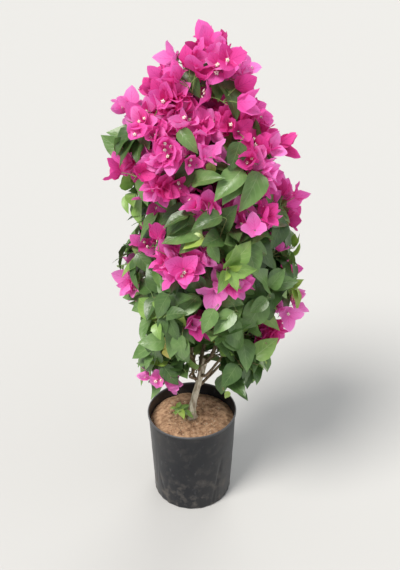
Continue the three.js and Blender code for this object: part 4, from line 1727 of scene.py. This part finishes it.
studio = {
    "camera": Vector((0.0, -1.5, 1.5)),
    "aim": Vector((0.02, 0.0, 0.61)),
    "lens": 48.5,
    "sensor": 36,
    "suns": {  # soft ones, so that the floor is evenly lit: place, strength, spread in degrees, colour
        "keySun": ((-1.0, -0.9, 1.9), 3.6, 24, (1.0, 0.97, 0.92)),
        "sideSun": ((1.7, -0.8, 1.0), 0.55, 70, (0.95, 0.98, 1.0)),
        "backSun": ((0.5, 1.8, 1.5), 1.0, 40, (1.0, 1.0, 0.95)),
    },
    "sky": (0.93, 0.96, 1.0),
    "skyStrength": 0.5,
    "floor": (0.505, 0.5, 0.49),
    "floorRoughness": 0.9,
    "floorReach": 30.0,
    "backdrop": (0.87, 0.862, 0.832),  # what the camera sees past the floor, as bright as the floor
}


def paleFloor():
    finish = Finish("studio floor")
    finish.set({"Base Color": studio["floor"], "Roughness": studio["floorRoughness"]})
    reach = studio["floorReach"]
    corners = [(-reach, -reach, 0), (reach, -reach, 0), (reach, reach, 0), (-reach, reach, 0)]
    floor = meshOf("studioFloor", corners, [[0, 1, 2, 3]], [finish.material])
    floor.data.polygons[0].use_smooth = False


def pointedAt(thing, place, target=Vector()):
    thing.location = place
    thing.rotation_euler = (target - Vector(place)).to_track_quat("-Z", "Y").to_euler()
    return thing


def lightStudio():
    for name, (place, strength, spread, colour) in studio["suns"].items():
        data = bpy.data.lights.new(name, "SUN")
        data.angle, data.energy, data.color = math.radians(spread), strength, colour
        pointedAt(linked(name, data), place)
    world = bpy.data.worlds.new("studio")
    world.use_nodes = True
    nodes, tree = world.node_tree.nodes, Wiring(world.node_tree)
    sky = nodes["Background"]
    tree.feed(sky.inputs["Color"], studio["sky"])
    tree.feed(sky.inputs["Strength"], studio["skyStrength"])
    backdrop = tree.add("ShaderNodeBackground", {"Color": studio["backdrop"]})
    seen = tree.add("ShaderNodeLightPath").outputs["Is Camera Ray"]
    both = tree.add("ShaderNodeMixShader", {0: seen, 1: sky.outputs[0], 2: backdrop.outputs[0]})
    tree.feed(nodes["World Output"].inputs["Surface"], both.outputs[0])
    bpy.context.scene.world = world
    bpy.context.scene.view_settings.view_transform = "Standard"


def placeCamera():
    data = bpy.data.cameras.new("camera")
    data.sensor_fit, data.sensor_height, data.lens = "VERTICAL", studio["sensor"], studio["lens"]
    bpy.context.scene.camera = pointedAt(linked("camera", data), studio["camera"], studio["aim"])


# Everything is made here

def dressed(piece, nodes=()):
    if nodes:
        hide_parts(*nodes)
    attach(piece, "root")


placeCamera()
paleFloor()
lightStudio()
print("studio ready")

leafShades = {shade: leafMaterial(shade, *colours) for shade, colours in leafFinish["shades"].items()}
bractShades = {shade: bractMaterial(shade, *colours) for shade, colours in bractFinish["shades"].items()}
finishes = {name: barkMaterial(name, *colours) for name, colours in barkFinish["kinds"].items()}
finishes |= {name: smallMaterial(name, *colours) for name, colours in smallFinish["kinds"].items()}
finishes |= {"pot": potMaterial(), "soil": soilMaterial()}
print("materials ready")

trunk = trunkCurve()
canes = growCanes(trunk)
stems = [(stemCurve(cane), cane["mass"]) for cane in canes]
twigs = [twig for stem, mass in stems for twig in growTwigs(mass, stem)]
rand = seededDraws(seeds["shoots"])
shoots = [shoot for twig in twigs for shoot in growShoots(twig, rand)]
dealBlooms(twigs + shoots)
dealShades(twigs + shoots)
shoots += growFrontShoots(twigs)
leaves = growLeaves(twigs + shoots, stems, canes)
bracts, bractStalks, flowers = growBlossom(twigs + shoots)
shapeBlades(bractBlade, bracts, rand)
leaves = settleLeaves(leaves, bracts, rand)
leafTree, bractTree = facesTree(leafBlade, leaves)[0], facesTree(bractBlade, bracts)[0]
flowers = clearFlowers(flowers, leafTree, bractTree)
cutBack(twigs, shoots, leaves + bractStalks)
print(f"grown: {len(twigs)} twigs, {len(shoots)} shoots, {len(leaves)} leaves, {len(bracts)} bracts")

woodPaths = woodTree()
perched = perchTree()
crumbsOn = crumbTree()

dressed(barkTrunk(trunk, [finishes["trunk bark"], finishes["cut wood"]]), ["trunk"])
caneBark = grownWood("caneBark", [caneLimb(cane) for cane in canes], finishes["cane bark"], wood["sides"],
                     wood["relief"], wood["reliefScale"])
dressed(caneBark, [cane["name"] for cane in canes])
thorn = revolved("thorn", thorns["profile"], thorns["sides"])
dressed(perchedShapes("thorns", growThorns(canes + twigs, leafTree), thorn, finishes["thorn"]))
print("trunk, canes and thorns made")


def dressCrown(group, nodes):
    def ofNodes(things):
        return [thing for thing in things if thing["mass"]["name"] in nodes]

    limbs = [branchLimb(stem, stemSizes["radii"], wood["stemSteps"]) for stem, mass in stems
             if mass["name"] in nodes]
    for branches, sizes, steps in ((twigs, twigSizes, "twigSteps"), (shoots, shootSizes, "shootSteps")):
        limbs += [branchLimb(branch["curve"], sizes["radii"], wood[steps], branch["until"])
                  for branch in ofNodes(branches) if branch["until"] > 0]
    stalks = [leafStalk(leaf) for leaf in ofNodes(leaves)]
    stalks += [bractStalk(stalk) for stalk in ofNodes(bractStalks)]
    for name, kind, runs, sides, relief in (
            ("twigs", "green twig", limbs, wood["twigSides"], wood["twigRelief"]),
            ("stalks", "leaf stalk", stalks, stalkSizes["sides"], ())):
        piece = grownWood(f"{name}{group}", runs, finishes[kind], sides, *relief)
        dressed(piece, nodes)
    dressed(bladePiece(f"leaves{group}", leafBlade, ofNodes(leaves), leafShades), nodes)
    dressed(bladePiece(f"bracts{group}", bractBlade, ofNodes(bracts), bractShades), nodes)
    print(f"crown {group.lower()} made")


for group, layerNames in crownGroups.items():
    dressCrown(group, [mass["name"] for mass in massesOf(*layerNames)])

sproutCurve, sproutLeaves = growSprout()
sproutLimbs = [branchLimb(sproutCurve, sprout["radii"], sprout["steps"])]
sproutLimbs += [leafStalk(leaf) for leaf in sproutLeaves]
dressed(grownWood("sproutStem", sproutLimbs, finishes["leaf stalk"], wood["twigSides"]))
shapeBlades(leafBlade, sproutLeaves, rand)
dressed(bladePiece("sproutLeaves", leafBlade, sproutLeaves, leafShades))

tube = revolved("flowerTube", flowerShape["profile"], flowerShape["sides"])
dressed(perchedShapes("flowerTubes", flowers, tube, finishes["flower tube"]))
dressed(perchedShapes("flowerStars", flowers, flowerStar(), finishes["flower star"]))
print("sprout and flowers made")

dressed(nurseryPot(finishes["pot"]), ["pot"])
dressed(soilBody(finishes["soil"]), ["soil"])
crumbMesh = crumbShape()
for name, (seed, density, largest, kind) in strewn["pieces"].items():
    inputs = {"Shape": crumbMesh, "Seed": seed, "Density": density, "Largest": largest,
              "Smallest": strewn["smallest"], "Skew": strewn["skew"], "Finish": finishes[kind]}
    dressed(grown(name, soilSurface(), crumbsOn, inputs))
bpy.data.objects.remove(crumbMesh)
print("pot and soil made")
